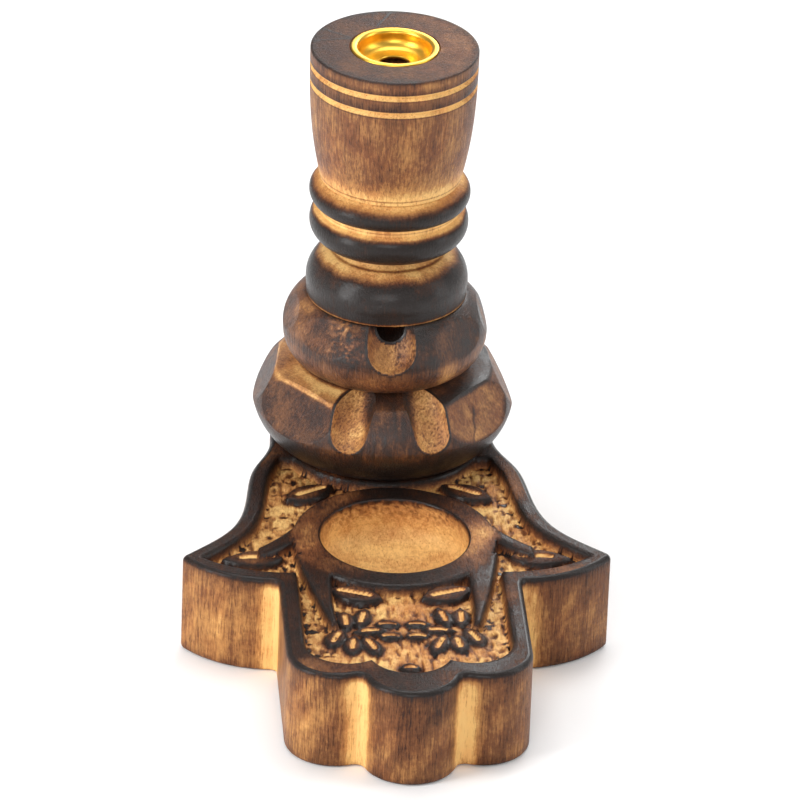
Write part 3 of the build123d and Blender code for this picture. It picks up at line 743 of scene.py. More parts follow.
class BURNER_OT_carve_palm(bpy.types.Operator):
    """Carve the recess and leave the rim, ring, arms, stems, leaves and petals standing."""

    bl_idname = "burner.carve_palm"
    bl_label = "Carve the palm"

    def execute(self, context):
        sizes = context.scene.burner_sizes
        bm = self.blank(sizes)
        shapes, cuts = leaves()
        more_shapes, more_cuts = petals()
        shapes, cuts = shapes + more_shapes, cuts + more_cuts

        def carved(places):
            return np.minimum(
                depth_inside(recess_loop, places), -depth_inside(ornament_loop, places)
            )

        def ornament(places):
            return np.max([leaf_level(places, *shape) for shape in shapes], axis=0)

        leaf_run = 0.7 * MM
        slide_to_line(bm, carved)
        slide_to_line(bm, lambda places: carved(places) - sizes.wall_run)
        slide_to_line(bm, ornament)
        slide_to_line(bm, lambda places: ornament(places) + leaf_run)
        places = read(bm)
        gap, leaf = carved(places), ornament(places)
        cut = np.max([cut_level(places, *ends) for ends in cuts], axis=0)
        heights, torch = self.relief(places, gap, leaf, cut, leaf_run, sizes)
        places[:, 2] = heights
        write(bm, places)
        torch_layer = bm.verts.layers.float.new("torch")
        for vertex, value in zip(bm.verts, torch):
            vertex[torch_layer] = value
        self.close_below(bm, board_top - 6 * MM)
        finish_piece(bm, "carved_palm", "burner", finish_named("palm_wood"), sharp=50)
        return {"FINISHED"}

    def blank(self, sizes):
        """Flat sheet cut to the rim's upper edge and to the bowl's lip."""
        inset = sizes.edge_round - 0.1 * MM
        low, high = hand_loop.min(axis=0), hand_loop.max(axis=0)
        width, length = high - low
        columns = round(width / sizes.carving_pitch)
        rows = round(length / (sizes.carving_pitch * 1.1))
        bm = bmesh.new()
        bmesh.ops.create_grid(bm, x_segments=columns, y_segments=rows, size=0.5)
        bmesh.ops.scale(bm, vec=(width, length, 1), verts=bm.verts)
        middle = (low + high) / 2
        bmesh.ops.translate(bm, vec=(middle[0], middle[1], 0), verts=bm.verts)

        def outside(places):
            return inset - depth_inside(hand_loop, places)

        def in_bowl(places):
            return bowl_radius + 0.55 * MM - np.hypot(places[:, 0], places[:, 1] - bowl_y)

        for level_of in (outside, in_bowl):
            slide_to_line(bm, level_of)
            level = level_of(read(bm))
            index = {vertex: i for i, vertex in enumerate(bm.verts)}
            gone = [f for f in bm.faces if sum(level[index[v]] for v in f.verts) > 0.02 * MM]
            bmesh.ops.delete(bm, geom=gone, context="FACES")
        return bm

    def relief(self, places, gap, leaf, cut, leaf_run, sizes):
        """Height and torching of every point of the carved palm, with painted shadow on the floor round the leaves
        and petals.
        """
        top = board_top
        slow = ripple(places, 11 * MM, 2.0)
        quick = ripple(places, 2.4 * MM, 3.0)
        strokes = ramp(ripple(places * (1, 0.3, 1), 1.25 * MM, 27), 0.12, 0.5)
        floor = top - sizes.recess_depth + 0.25 * MM * slow + 0.18 * MM * quick
        floor += self.chisel_marks(places) - 0.45 * MM * strokes
        edge_drop = 0.45 * MM
        round_run = 1.1 * MM
        near_edge = np.clip(1 + gap / round_run, 0, 1)
        plateau = top - edge_drop * near_edge**2
        plateau += (0.05 * slow + 0.03 * quick) * MM * np.clip(-gap / (2 * MM), 0, 1)
        share = np.clip(gap / sizes.wall_run, 0, 1)
        wall = top - edge_drop + share * (floor - top + edge_drop)
        heights = np.where(gap <= 0, plateau, wall)
        crown = top - (1.2 * MM + 0.8 * MM * ramp(column_y - places[:, 1], 95 * MM, 98 * MM))
        crown -= 0.6 * MM * np.exp(-np.clip(leaf, 0, None) / (0.6 * MM))
        crown -= 0.9 * MM * np.clip(cut / (0.75 * MM), 0, 1)
        leaf_share = np.clip(-leaf / leaf_run, 0, 1)
        leaf_wall = crown + leaf_share * (floor - crown)
        raised = np.where(leaf >= 0, crown, leaf_wall)
        on_leaf = (gap > 0) & (leaf > -leaf_run) & (raised > heights)
        heights = np.where(on_leaf, raised, heights)

        patch = ramp(ripple(places, 16 * MM, 4.0), -0.05, 0.55)
        torch = 0.80 + 0.16 * np.exp(gap / (0.8 * MM)) - 0.26 * patch
        bearing = np.arctan2(places[:, 0], places[:, 1] - bowl_y)
        reach = np.hypot(places[:, 0], places[:, 1] - bowl_y)
        on_ring = 1 - ramp(reach, bowl_radius + 7 * MM, bowl_radius + 10 * MM)
        torch += on_ring * (0.12 - 0.42 * np.sin(bearing) ** 2)
        torch += 0.15 * np.exp(-((reach - bowl_radius) / (1.0 * MM)) ** 2)
        floor_torch_and_shadow = 0.13 + 0.08 * slow + 0.12 * quick + 0.34 * strokes
        speck = ramp(ripple(places, 1.7 * MM, 5.0), 0.0, 0.40)
        clump = ramp(ripple(places, 4.5 * MM, 23.0), 0.0, 0.35)
        floor_torch_and_shadow += 0.75 * speck * (1 - ramp(gap, 0.8 * MM, 3.4 * MM))
        floor_torch_and_shadow += 0.75 * speck * clump * ramp(np.abs(places[:, 0]), 16 * MM, 24 * MM)
        wall_torch = np.interp(share, [0, 0.25, 0.7, 1], [0.94, 0.80, 0.42, 0.26])
        # Darker floor round the foot of every leaf and petal: painted shadow of the raised carving.
        floor_torch_and_shadow += 0.45 * np.exp(np.clip(leaf + leaf_run, None, 0) / (0.7 * MM))
        torch = np.where(gap <= 0, torch, np.where(share < 1, wall_torch, floor_torch_and_shadow))
        leaf_torch = 0.66 + 0.32 * np.exp(-np.clip(leaf, 0, None) / (0.5 * MM)) + 0.1 * quick
        leaf_torch = np.where(leaf < 0, 0.95 - 0.35 * leaf_share**3, leaf_torch)
        leaf_torch -= 0.66 * ramp(cut, 0.05 * MM, 0.35 * MM)
        return heights, np.where(on_leaf, leaf_torch, torch)

    def chisel_marks(self, places):
        """Small tilted facets left by the chisel, as heights."""
        facets = np.zeros(len(places))
        for i, (x, y, _) in enumerate(places):
            spot = Vector((x / (2.0 * MM), y / (4.0 * MM), 0.5))
            centres = noise.voronoi(spot)[1]
            tilt = noise.cell_vector(centres[0] * 3.1)
            facets[i] = (spot - centres[0]).dot(tilt - Vector((0.5, 0.5, 0.5))) * 1.0 * MM
        return facets

    def close_below(self, bm, height):
        """Drop a skirt from every open edge and fill it in underneath."""
        rim = [e for e in bm.edges if e.is_boundary]
        made = bmesh.ops.extrude_edge_only(bm, edges=rim)["geom"]
        for vertex in (g for g in made if isinstance(g, bmesh.types.BMVert)):
            vertex.co.z = height
        lower = [g for g in made if isinstance(g, bmesh.types.BMEdge) and g.is_boundary]
        bmesh.ops.triangle_fill(bm, edges=lower, normal=(0, 0, -1))
        bmesh.ops.recalc_face_normals(bm, faces=bm.faces)


class BURNER_OT_hollow_bowl(bpy.types.Operator):
    """Turn the candle bowl, from its eased lip to its rounded floor."""

    bl_idname = "burner.hollow_bowl"
    bl_label = "Hollow the bowl"

    def execute(self, context):
        lip, depth, corner, wall = 0.6 * MM, 12.5 * MM, 5 * MM, 1.8 * MM
        top, floor = board_top, board_top - depth
        slant = 1 - math.sqrt(0.5)
        outline = [(0, floor)]
        outline += straight(outline[-1], (bowl_radius - corner, floor), 24)
        middle = (bowl_radius - corner * slant, floor + corner * slant)
        outline += arc(outline[-1], middle, (bowl_radius, floor + corner), 14)
        outline += straight(outline[-1], (bowl_radius, top - lip), 12)
        middle = (bowl_radius + lip * slant, top - lip * slant)
        outline += arc(outline[-1], middle, (bowl_radius + lip, top), 5)
        outline += [(bowl_radius + 2 * lip, top - 0.4 * MM), (bowl_radius + wall, top - 2 * MM)]
        outline += [(bowl_radius + wall, floor - wall), (0, floor - wall)]
        outline = [(r, z) for r, z in outline]
        bm = turn(outline, 0)
        bmesh.ops.translate(bm, vec=(0, bowl_y - column_y, 0), verts=bm.verts)
        places = read(bm)
        level = (places[:, 2] - floor) / depth
        far_side = ramp(places[:, 1] - bowl_y, 2 * MM, 18 * MM)
        torch = np.interp(level, [0, 0.5, 0.85, 0.96, 1.0], [0.10, 0.12, 0.26, 0.6, 0.88])
        torch += 0.30 * far_side * ramp(level, 0.3, 0.9) * ramp(ripple(places, 1.0 * MM, 8), -0.1, 0.4)
        torch += 0.06 * ripple(places, 7 * MM, 9)
        scorch = np.hypot(places[:, 0] + 3 * MM, places[:, 1] - bowl_y + 13 * MM)
        dashes = ramp(ripple(places * (1, 0.25, 1), 0.9 * MM, 26), 0.1, 0.35)
        torch += 0.35 * dashes * (1 - ramp(scorch, 3 * MM, 8 * MM)) * (1 - ramp(level, 0.1, 0.3))
        finish_piece(
            bm, "candle_bowl", "burner", finish_named("bowl_wood"), {"torch": torch}
        )
        return {"FINISHED"}


# ------------------------------------------------------------------ gouging of the turned discs
def beside_bar(places, start, end, radius):
    """Distance outside a round-ended bar for each place, negative inside it."""
    start, end = np.array(start), np.array(end)
    along = end - start
    share = np.clip((places - start) @ along / (along @ along), 0, 1)
    return np.linalg.norm(places - start - share[:, None] * along, axis=1) - radius


def beside_gouge(places, top, bottom, width, depth, lean):
    """Distance outside a round-bottomed channel from top to bottom; lean points off the wood."""
    lean = np.array(lean) / np.linalg.norm(lean)
    radius = (width * width / 4 + depth * depth) / (2 * depth)
    start, end = (np.array(p) + lean * (radius - depth) for p in (top, bottom))
    return beside_bar(places, start - (end - start) * 0.6, end, radius)


def gouge(bm, *mark):
    """Scoop the channel of beside_gouge out of the mesh."""
    slide_to_line(bm, lambda places: beside_gouge(places, *mark))
    lean = np.array(mark[-1]) / np.linalg.norm(mark[-1])
    places = read(bm)
    cut = beside_gouge(places, *mark) < 0.01 * MM
    moved = places[cut]
    for _ in range(24):
        moved = moved + lean * np.clip(beside_gouge(moved, *mark), None, 0)[:, None]
    places[cut] = moved
    write(bm, places)


def shave(bm, point, facing):
    """Cut a flat: what stands beyond the plane is pressed back to it. Gives the distance beyond."""
    facing = np.array(facing) / np.linalg.norm(facing)
    point = np.array(point)
    slide_to_line(bm, lambda places: (places - point) @ facing)
    places = read(bm)
    beyond = (places - point) @ facing
    off = np.clip(beyond, 0, None)
    write(bm, places - off[:, None] * facing)
    return beyond


class BURNER_OT_turn_lower_disc(bpy.types.Operator):
    """Turn the wide disc, shave its shoulders and gouge the two spreading flutes."""

    bl_idname = "burner.turn_lower_disc"
    bl_label = "Turn the lower disc"

    def execute(self, context):
        sizes = context.scene.burner_sizes
        foot, height = board_top, upper_foot - board_top
        edge = widest("lower_cascade_disc")
        belly, ledge = (edge, 12.8 * MM), (30.6 * MM, 23.8 * MM)
        outline = [(0, 0), (20 * MM, 0)]
        outline += straight(outline[-1], (28 * MM, 0), 6)
        outline += arc(outline[-1], (33.83 * MM, 4.8 * MM), belly, 26)
        outline += arc(belly, (34.54 * MM, 20.3 * MM), ledge, 26)
        outline += straight(ledge, (22.4 * MM, height - 0.1 * MM), 16)
        outline += [(20 * MM, height - 0.1 * MM), (0, height - 0.1 * MM)]
        bm = turn(outline, foot, 210)
        front = column_y - edge
        flats = []
        for side, turned, tilt, cut in ((-1, 52, 33, 2.6), (1, 50, 33, 2.5), (-1, 98, 30, 1.9), (1, 95, 28, 1.8)):
            a, t = math.radians(turned), math.radians(tilt)
            facing = (side * math.sin(a) * math.cos(t), -math.cos(a) * math.cos(t), math.sin(t))
            reach = (34.9 - cut) * MM
            point = (side * math.sin(a) * reach, column_y - math.cos(a) * reach, foot + 19 * MM)
            flats.append(shave(bm, point, facing))
        marks = []
        for side in (-1, 1):
            top = (side * 8.2 * MM, column_y - 23.6 * MM, foot + height)
            bottom = (side * 12.4 * MM, front + 3.4 * MM, foot + 16.4 * MM)
            marks.append((top, bottom, sizes.flute_width, 2.5 * MM, (side * 0.16, -0.74, 0.65)))
        for mark in marks:
            gouge(bm, *mark)
        places = read(bm)
        torch = self.torching(places, marks, flats, foot, height)
        finish_piece(
            bm, "lower_disc", "burner", finish_named("lower_disc_wood"),
            {"torch": torch}, ("lower_cascade_disc",),
        )
        return {"FINISHED"}

    def torching(self, places, marks, flats, foot, height):
        """Dark foot and ledge, tan shaved flats, pale flutes with a dark outline."""
        level = (places[:, 2] - foot) / height
        x = places[:, 0]
        torch = np.interp(
            level, [0, 0.25, 0.42, 0.5, 0.75, 0.90, 0.925, 0.94, 0.97, 1],
            [1.05, 1.02, 0.82, 0.68, 0.70, 0.66, 0.93, 0.93, 0.66, 0.8],
        )
        reach = np.hypot(x, places[:, 1] - column_y)
        on_left_ledge = ramp(level, 0.86, 0.92) * ramp(-x, 6 * MM, 14 * MM) * ramp(reach, 23 * MM, 25 * MM)
        torch -= 0.58 * on_left_ledge
        torch += 0.13 * ripple(places, 9 * MM, 11)
        for beyond, shade in zip(flats, (0.67, 0.46, 0.70, 0.58)):
            share = ramp(beyond, 0, 0.9 * MM) * (1 - ramp(level, 0.88, 0.91))
            torch += (shade + 0.05 * ripple(places, 5 * MM, 24) - torch) * share
        crack = np.abs(x - 24.5 * MM - 0.5 * (level - 0.62) * MM - 1.2 * MM * ripple(places, 4 * MM, 31))
        torch += 0.3 * np.exp(-((crack / (0.35 * MM)) ** 2)) * ramp(level, 0.45, 0.52) * (1 - ramp(level, 0.74, 0.8))
        between = 1 - ramp(np.abs(x) - 2 * MM * ramp(-level, -0.9, -0.5), 8 * MM, 11 * MM)
        in_front = places[:, 1] < column_y - 10 * MM
        fan = between * ramp(level, 0.38, 0.48) * in_front
        torch += (0.76 + 0.16 * ripple(places * (1, 0.2, 0.2), 1.2 * MM, 25) - torch) * fan
        for top, bottom, width, depth, lean in marks:
            gap = beside_gouge(places, top, bottom, width, depth, lean)
            side = math.copysign(1, top[0])
            inner = ramp(side * x, 5.0 * MM, 8.5 * MM)
            pale = 0.20 + 0.55 * (1 - inner) + 0.10 * ramp(-level, -0.72, -0.45)
            pale += 0.24 * ramp(ripple(places, 0.5 * MM, 29), 0.0, 0.5)
            outline = np.exp(-((gap - 0.5 * MM) / (0.7 * MM)) ** 2)
            outline *= np.maximum(ramp(side * x, 8 * MM, 10 * MM), 1 - ramp(level, 0.55, 0.68))
            torch = np.maximum(torch, 0.97 * outline)
            torch = np.where(gap < 0.05 * MM, pale, torch)
        return torch


class BURNER_OT_turn_upper_disc(bpy.types.Operator):
    """Turn the smaller disc, shave its shoulders, and gouge the spout with its smoke outlet."""

    bl_idname = "burner.turn_upper_disc"
    bl_label = "Turn the upper disc"

    def execute(self, context):
        sizes = context.scene.burner_sizes
        foot, height = upper_foot, dome_foot - upper_foot
        belly, edge = (29.2 * MM, 9.8 * MM), (22.9 * MM, height)
        outline = [(0, 0), (18 * MM, 0)]
        outline += straight(outline[-1], (22.8 * MM, 0), 5)
        outline += arc(outline[-1], (27.66 * MM, 4.1 * MM), belly, 20)
        outline += arc(belly, (27.81 * MM, 16.5 * MM), edge, 24)
        outline += [(20 * MM, height), (7.79 * MM, height), (7.79 * MM, 12.4 * MM), (0, 12.4 * MM)]
        bm = turn(outline, foot, 190)
        for side, turned, tilt, cut in ((-1, 42, 30, 0.9), (1, 46, 24, 1.1), (1, 88, 20, 0.7), (-1, 86, 26, 0.6)):
            a, t = math.radians(turned), math.radians(tilt)
            facing = (side * math.sin(a) * math.cos(t), -math.cos(a) * math.cos(t), math.sin(t))
            reach = (28.0 - cut) * MM
            point = (side * math.sin(a) * reach, column_y - math.cos(a) * reach, foot + 15 * MM)
            shave(bm, point, facing)
        width, depth, lean = sizes.spout_width, 4.2 * MM, (0, -0.9, 0.44)
        top = (0, column_y - 23 * MM, dome_foot)
        bottom = (0, column_y - 27.0 * MM, foot + 15.2 * MM)
        gouge(bm, top, bottom, width, depth, lean)
        self.bore_outlet(bm)
        places = read(bm)
        torch = self.torching(places, (top, bottom, width, depth, lean), foot, height)
        finish_piece(
            bm, "upper_disc", "burner", finish_named("upper_disc_wood"),
            {"torch": torch}, ("upper_cascade_disc",),
        )
        return {"FINISHED"}

    def outlet_gap(self, places):
        """Distance outside the smoke outlet of each place at the front."""
        start = np.array((0, column_y - 10 * MM, dome_foot - 0.6 * MM))
        end = start + np.array((0, -30 * MM, -2.0 * MM))
        return beside_bar(places, start, end, 3.9 * MM)

    def bore_outlet(self, bm):
        """Press the outlet in from the top of the spout."""
        def level(places):
            return np.where(places[:, 1] < column_y - 14 * MM, self.outlet_gap(places), 5 * MM)

        slide_to_line(bm, level)
        places = read(bm)
        inside = level(places) < -0.02 * MM
        places[inside] += np.array((0, 7 * MM, 0.7 * MM))
        write(bm, places)

    def torching(self, places, mark, foot, height):
        level = (places[:, 2] - foot) / height
        x = places[:, 0]
        torch = np.interp(
            level, [0, 0.03, 0.06, 0.2, 0.42, 0.5, 0.8, 0.97, 1],
            [0.3, 0.34, 0.60, 0.52, 0.58, 0.78, 0.76, 0.76, 0.9],
        )
        torch += 0.14 * ripple(places, 6 * MM, 13)
        torch += 0.12 * ramp(x, 6 * MM, 9 * MM) * (1 - ramp(x, 12 * MM, 15 * MM))
        flakes = ripple(places * (1, 1, 1.6), 1.3 * MM, 28)
        flaked = np.exp(-(((x + 12 * MM) / (5 * MM)) ** 2)) * ramp(level, 0.45, 0.6)
        flaked *= places[:, 1] < column_y
        torch += flaked * (0.25 * ramp(flakes, 0.0, 0.3) - 0.26 * ramp(-flakes, 0.2, 0.5))
        torch -= 0.16 * ramp(-x, 3 * MM, 12 * MM) * ramp(level, 0.4, 0.7)
        gap = beside_gouge(places, *mark)
        front = places[:, 1] < column_y - 12 * MM
        outline = np.exp(-((gap - 0.5 * MM) / (0.75 * MM)) ** 2)
        torch = np.where(front, np.maximum(torch, 0.98 * outline), torch)
        # The spout darkens towards its top: painted shade under the dome's overhanging edge.
        shade = 0.33 + 0.4 * ramp(level, 0.86, 0.99) + 0.12 * ramp(x, -1 * MM, 4 * MM)
        shade += 0.26 * ramp(x, -2 * MM, 2 * MM) * ramp(ripple(places, 0.5 * MM, 30), 0.0, 0.5)
        torch = np.where(front & (gap < 0.05 * MM), shade, torch)
        # Near-black in and round the smoke outlet: painted shade inside the bore under the dome's edge, with char
        # round its mouth.
        hole = self.outlet_gap(places)
        return np.where(front & (hole < 0.6 * MM) & (gap < 0.05 * MM), 0.95, torch)


# ------------------------------------------------------------------ the stem above the discs
def wobble(bm, amount, size, seed):
    """Leave the slight unevenness of hand turning on the outside."""
    places = read(bm)
    out = places[:, :2] - np.array((0, column_y))
    reach = np.linalg.norm(out, axis=1)
    share = ripple(places * (1, 1, 0.4), size, seed) * amount * ramp(reach, 12.9 * MM, 14 * MM)
    places[:, :2] += out / np.maximum(reach, MM)[:, None] * share[:, None]
    write(bm, places)


class BURNER_OT_turn_dome(bpy.types.Operator):
    """Turn the dome collar with its pale cove and neck."""

    bl_idname = "burner.turn_dome"
    bl_label = "Turn the dome"

    def execute(self, context):
        foot = dome_foot
        height, top = 14.9 * MM, bead_foot - dome_foot
        bore, spigot = 2.75 * MM, 7.75 * MM
        outline = [(bore, -8 * MM), (spigot, -8 * MM), (spigot, 0), (20 * MM, 0)]
        outline += straight(outline[-1], (22.2 * MM, 0), 4)
        outline += arc(outline[-1], (22.75 * MM, 0.25 * MM), (22.85 * MM, 0.9 * MM), 4)
        outline += straight(outline[-1], (23.0 * MM, 3.3 * MM), 6)
        outline += arc(outline[-1], (21.1 * MM, 10.9 * MM), (16.4 * MM, 14.2 * MM), 32)
        outline += arc(outline[-1], (15.0 * MM, 15.1 * MM), (14.4 * MM, 16.6 * MM), 12)
        outline += straight(outline[-1], (14.3 * MM, top), 5)
        outline += [(spigot, top), (spigot, top - 8.6 * MM), (bore, top - 8.6 * MM)]
        bm = turn(outline, foot)
        wobble(bm, 0.10 * MM, 18 * MM, 14)
        places = read(bm)
        level = (places[:, 2] - foot) / MM
        torch = np.interp(
            level, [-1, 0.2, 0.5, 0.9, 1.6, 9.0, 11.2, 12.3, 13.2, 14.0, 14.25, 14.5, 16, 18.1],
            [0.6, 0.30, 0.32, 0.80, 0.95, 0.96, 0.88, 0.52, 0.20, 0.05, 0.5, 0.05, 0.12, 0.6],
        )
        torch += 0.09 * ripple(places, 6 * MM, 15) * ramp(level, 8, 12)
        finish_piece(
            bm, "dome", "burner", finish_named("dome_wood"),
            {"torch": torch}, ("dome_collar",),
        )
        return {"FINISHED"}


class BURNER_OT_turn_beads(bpy.types.Operator):
    """Turn the two charred beads with the bright valley between them."""

    bl_idname = "burner.turn_beads"
    bl_label = "Turn the beads"

    def execute(self, context):
        foot, top = bead_foot, barrel_foot - bead_foot
        bore, spigot = 2.75 * MM, 7.75 * MM
        bead, valley = widest("bead_ring"), 20.3 * MM
        outline = [(bore, -8 * MM), (spigot, -8 * MM), (spigot, 0)]
        outline += straight(outline[-1], (14.3 * MM, 0), 3)
        outline += arc(outline[-1], (22.3 * MM, 3.1 * MM), (21.4 * MM, 8.6 * MM), 30)
        outline += straight(outline[-1], (valley, 9.2 * MM), 3)
        outline += straight(outline[-1], (valley, 10.9 * MM), 6)
        outline += straight(outline[-1], (21.5 * MM, 11.5 * MM), 3)
        outline += arc(outline[-1], (bead - 0.1 * MM, 14.2 * MM), (21.0 * MM, 17.6 * MM), 22)
        outline += straight(outline[-1], (19.4 * MM, top), 6)
        outline += [(spigot, top), (spigot, top - 8.6 * MM), (bore, top - 8.6 * MM)]
        bm = turn(outline, foot)
        wobble(bm, 0.10 * MM, 15 * MM, 16)
        places = read(bm)
        level = (places[:, 2] - foot) / MM
        torch = np.interp(
            level,
            [-1, 0.6, 2.0, 7.2, 8.1, 8.7, 9.95, 10.1, 10.3, 11.45, 11.75, 12.2, 15.2, 16.4, 17.4, 18.2],
            [0.5, 0.7, 0.96, 0.97, 0.6, 0.12, 0.06, 0.4, 0.06, 0.12, 0.85, 0.97, 0.96, 0.72, 0.32, 0.12],
        )
        torch += 0.07 * ripple(places, 5 * MM, 17) * ramp(level, 14, 17)
        finish_piece(
            bm, "beads", "burner", finish_named("bead_wood"),
            {"torch": torch}, ("bead_ring",),
        )
        return {"FINISHED"}


class BURNER_OT_turn_barrel(bpy.types.Operator):
    """Turn the barrel with its two V grooves and the seat for the cup."""

    bl_idname = "burner.turn_barrel"
    bl_label = "Turn the barrel"

    def execute(self, context):
        foot, height = barrel_foot, barrel_top - barrel_foot
        foot_radius, top_radius = 19.9 * MM, widest("barrel_head")
        bore, spigot, ease = 2.75 * MM, 7.75 * MM, 0.6 * MM
        drops, half_width, groove_depth = (4.8 * MM, 10.0 * MM), 0.95 * MM, 0.9 * MM
        heights = set(np.linspace(0.3 * MM, height - ease, 96))
        for drop in drops:
            middle = height - drop
            heights = {h for h in heights if abs(h - middle) > half_width + 0.15 * MM}
            heights |= {middle + half_width * share for share in (-1.1, -1, -0.85, -0.5, 0, 0.5, 0.85, 1, 1.1)}

        def side(level):
            radius = foot_radius + (top_radius - foot_radius) * (1 - (1 - level / height) ** 2.7)
            for drop in drops:
                radius -= groove_depth * max(0, 1 - abs(level - height + drop) / half_width)
            return radius

        outline = [(bore, -8 * MM), (spigot, -8 * MM), (spigot, 0), (foot_radius - 0.4 * MM, 0)]
        outline += [(side(level), level) for level in sorted(heights)]
        slant = ease * (1 - math.sqrt(0.5))
        outline += arc(
            outline[-1], (top_radius - slant, height - slant), (top_radius - ease, height), 4
        )
        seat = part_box("smoke_cup")
        flange = (seat[1].x - seat[0].x) / 2 + 0.3 * MM
        outline += straight(outline[-1], (flange + 0.15 * MM, height), 22)
        outline += [(flange, height - 0.15 * MM), (flange, height - 0.6 * MM)]
        outline += [(11.4 * MM, height - 0.6 * MM), (11.4 * MM, height - 7.2 * MM)]
        outline += [(bore, height - 7.2 * MM)]
        bm = turn(outline, foot)
        wobble(bm, 0.10 * MM, 22 * MM, 18)
        places = read(bm)
        level = (places[:, 2] - foot) / MM
        h = height / MM
        torch = np.interp(
            level,
            [0, 1.2, 1.5, 1.8, 3.2, 5.5, 9, 20, h - 11.3, h - 11.05, h - 10.8, h - 9.2, h - 8.95,
             h - 6.05, h - 5.8, h - 5.6, h - 4.0, h - 3.8, h - 2.0, h - 0.7, h],
            [0.06, 0.05, 0.4, 0.06, 0.12, 0.34, 0.47, 0.47, 0.5, 0.72, 0.08, 0.08, 0.72,
             0.52, 0.72, 0.08, 0.08, 0.72, 0.50, 0.56, 0.9],
        )
        reach = np.hypot(places[:, 0], places[:, 1] - column_y)
        on_top = level > h - 0.05
        top_torch_and_sheen = 0.68 + 0.16 * np.exp(-((reach - top_radius) / (2 * MM)) ** 2)
        rings = np.column_stack([0.25 * places[:, 0] + places[:, 1], 0.1 * places[:, 0], 0 * reach])
        top_torch_and_sheen += 0.08 * ripple(rings, 1.6 * MM, 19) + 0.05 * ripple(places, 6 * MM, 21)
        # Paler towards the right: painted sheen of the back softbox on the top face.
        top_torch_and_sheen -= 0.12 * ramp(places[:, 0], -4 * MM, 14 * MM)
        for start, end in (((-22.6, 4.0), (-12.8, 5.6)), ((-19.8, 12.0), (-12.0, 5.8)), ((-4.0, 14.0), (0.5, 23.0))):
            ends = [(a * MM, column_y + b * MM) for a, b in (start, end)]
            top_torch_and_sheen += 0.35 * ramp(cut_level(places, *ends, 0.45 * MM), 0, 0.3 * MM)
        torch = np.where(on_top, top_torch_and_sheen, torch + 0.08 * ripple(places * (1, 1, 0.4), 8 * MM, 20))
        torch = np.where(reach < flange + 0.1 * MM, 0.5, torch)
        finish_piece(
            bm, "barrel", "burner", finish_named("barrel_wood"),
            {"torch": torch}, ("barrel_head",),
        )
        return {"FINISHED"}


class BURNER_OT_press_cup(bpy.types.Operator):
    """Press the metal cup: flat flange, rolled lip, curved wall and a holed floor."""

    bl_idname = "burner.press_cup"
    bl_label = "Press the cup"

    def execute(self, context):
        depth, wall = cup_top - cup_bottom, 0.8 * MM
        low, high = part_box("smoke_cup")
        flange, inside, hole = (high.x - low.x) / 2, 10.3 * MM, 4.5 * MM
        corner, lip = 3 * MM, 1.0 * MM
        half = math.sqrt(0.5)
        outer = inside + wall
        outline = [(hole, 0.15 * MM), (hole + 0.15 * MM, 0)]
        outline += straight(outline[-1], (outer - corner - wall, 0), 4)
        round_by = corner + wall
        outline += arc(
            outline[-1], (outer - round_by * (1 - half), round_by * (1 - half)), (outer, round_by), 12
        )
        outline += straight(outline[-1], (outer, depth - wall), 3)
        outline += straight(outline[-1], (flange - 0.3 * MM, depth - wall), 3)
        outline += arc(outline[-1], (flange, depth - wall / 2), (flange - 0.3 * MM, depth), 8)
        outline += straight(outline[-1], (inside + lip, depth), 4)
        outline += arc(
            outline[-1], (inside + lip * (1 - half), depth - lip * (1 - half)), (inside, depth - lip), 8
        )
        outline += straight(outline[-1], (inside, wall + corner), 3)
        outline += arc(
            outline[-1], (inside - corner * (1 - half), wall + corner * (1 - half)),
            (inside - corner, wall), 12,
        )
        outline += straight(outline[-1], (hole + 0.2 * MM, wall), 4)
        outline += [(hole, wall - 0.2 * MM)]
        bm = turn(outline, cup_bottom)
        finish_piece(
            bm, "pressed_cup", "cup", finish_named("gilt_cup"), None, ("smoke_cup",)
        )
        return {"FINISHED"}


class BURNER_OT_fit_fastenings(bpy.types.Operator):
    """Give the dowels and screws that hold the stack together their finishes."""

    bl_idname = "burner.fit_fastenings"
    bl_label = "Fit dowels and screws"

    def execute(self, context):
        for name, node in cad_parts.items():
            if name.startswith("disc_dowel"):
                finish, slot = finish_named("dowel_wood"), "dowel_wood"
            elif name.startswith("base_screw"):
                finish, slot = finish_named("zinc_steel"), "screw_steel"
            else:
                continue
            node.data.materials.clear()
            node.data.materials.append(finish)
        return {"FINISHED"}


# ------------------------------------------------------------------ studio
def soft_light(name, place, aim, size, power, colour=(1, 1, 1)):
    """Square softbox that faces the aim point."""
    data = bpy.data.lights.new(name, "AREA")
    data.shape = "RECTANGLE"
    data.size, data.size_y = size
    data.energy, data.color = power, colour
    light = bpy.data.objects.new(name, data)
    light.location = place
    light.rotation_mode = "QUATERNION"
    light.rotation_quaternion = (Vector(aim) - Vector(place)).to_track_quat("-Z", "Y")
    bpy.context.scene.collection.objects.link(light)
    return light


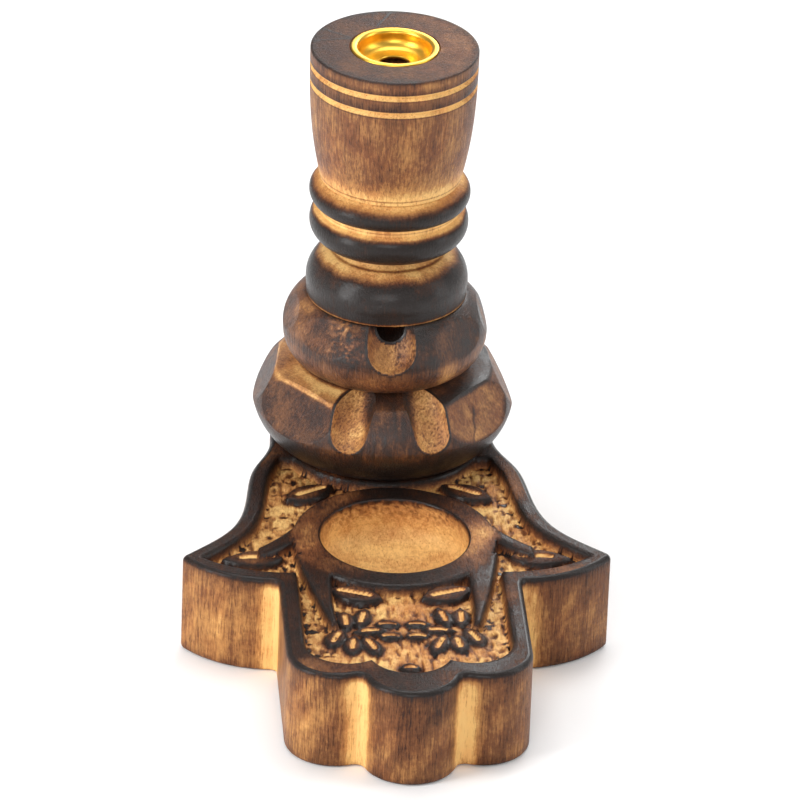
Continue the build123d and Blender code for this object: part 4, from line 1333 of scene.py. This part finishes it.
class BURNER_OT_set_studio(bpy.types.Operator):
    """Lay the pale floor, hang the softboxes and set the camera."""

    bl_idname = "burner.set_studio"
    bl_label = "Set the studio"

    def execute(self, context):
        bm = bmesh.new()
        bmesh.ops.create_grid(bm, x_segments=1, y_segments=1, size=4)
        mesh = bpy.data.meshes.new("floor")
        bm.to_mesh(mesh)
        bm.free()
        floor = bpy.data.objects.new("floor", mesh)
        context.scene.collection.objects.link(floor)
        paper = bpy.data.materials.new("floor_paper")
        paper.use_nodes = True
        shader = paper.node_tree.nodes["Principled BSDF"]
        shader.inputs["Base Color"].default_value = (0.97, 0.97, 0.97, 1)
        shader.inputs["Roughness"].default_value = 0.9
        floor.data.materials.append(paper)
        aim = (0, column_y, 0.07)
        soft_light("left_box", (-0.75, -0.35, 0.40), aim, (0.30, 0.9), 7.5)
        soft_light("right_box", (0.75, -0.10, 0.40), aim, (0.30, 0.9), 2.6)
        soft_light("front_box", (-0.1, -1.1, 0.55), aim, (0.6, 0.4), 3.5)
        soft_light("top_box", (0, 0.20, 1.0), aim, (0.7, 0.5), 4.5)
        soft_light("back_box", (0.45, 1.20, 0.72), aim, (0.7, 0.4), 8)
        world = bpy.data.worlds.new("studio")
        context.scene.world = world
        world.use_nodes = True
        background = world.node_tree.nodes["Background"]
        background.inputs["Color"].default_value = (1, 1, 1, 1)
        background.inputs["Strength"].default_value = 0.32
        context.scene.view_settings.view_transform = "Standard"
        self.set_camera(context)
        return {"FINISHED"}

    def set_camera(self, context):
        """Long lens, low three-quarter height, almost straight in front and slightly rolled."""
        azimuth, elevation, roll = (math.radians(a) for a in (-4.7, 28.5, 2.1))
        distance = 2.306
        toward = Vector((
            math.sin(azimuth) * math.cos(elevation), -math.cos(azimuth) * math.cos(elevation),
            math.sin(elevation),
        ))
        level = Vector((math.cos(azimuth), math.sin(azimuth), 0))
        upward = toward.cross(level)
        right = math.cos(roll) * level + math.sin(roll) * upward
        up = -math.sin(roll) * level + math.cos(roll) * upward
        data = bpy.data.cameras.new("camera")
        data.lens, data.sensor_width = 360, 36
        data.shift_x, data.shift_y = 0.0239, 0.0421
        data.clip_start, data.clip_end = 0.1, 20
        camera = bpy.data.objects.new("camera", data)
        turned = Matrix((right, up, toward)).transposed().to_4x4()
        aim = Vector((0, column_y, board_top))
        camera.matrix_world = Matrix.Translation(aim + toward * distance) @ turned
        context.scene.collection.objects.link(camera)
        context.scene.camera = camera


class BURNER_PT_panel(bpy.types.Panel):
    """Lists the steps and the sizes in the sidebar."""

    bl_label = "Burner"
    bl_idname = "BURNER_PT_panel"
    bl_space_type = "VIEW_3D"
    bl_region_type = "UI"
    bl_category = "Burner"

    def draw(self, context):
        for step in STEPS:
            self.layout.operator(step.bl_idname)
        for group in (context.scene.burner_sizes, context.scene.burner_finish):
            box = self.layout.box()
            for label in group.__annotations__:
                box.prop(group, label)


STEPS = (
    BURNER_OT_saw_board, BURNER_OT_carve_palm, BURNER_OT_hollow_bowl, BURNER_OT_turn_lower_disc,
    BURNER_OT_turn_upper_disc, BURNER_OT_turn_dome, BURNER_OT_turn_beads, BURNER_OT_turn_barrel,
    BURNER_OT_press_cup, BURNER_OT_fit_fastenings, BURNER_OT_set_studio,
)
CLASSES = (BurnerSizes, BurnerFinish, *STEPS, BURNER_PT_panel)


def register():
    """Add the classes and the scene's settings."""
    for kind in CLASSES:
        bpy.utils.register_class(kind)
    bpy.types.Scene.burner_sizes = bpy.props.PointerProperty(type=BurnerSizes)
    bpy.types.Scene.burner_finish = bpy.props.PointerProperty(type=BurnerFinish)


def unregister():
    """Take the classes and the scene's settings away again."""
    del bpy.types.Scene.burner_finish
    del bpy.types.Scene.burner_sizes
    for kind in reversed(CLASSES):
        bpy.utils.unregister_class(kind)


def main():
    """Build the whole burner in its studio."""
    register()
    for step in STEPS:
        group, label = step.bl_idname.split(".")
        getattr(getattr(bpy.ops, group), label)()


if __name__ == "__main__":
    main()
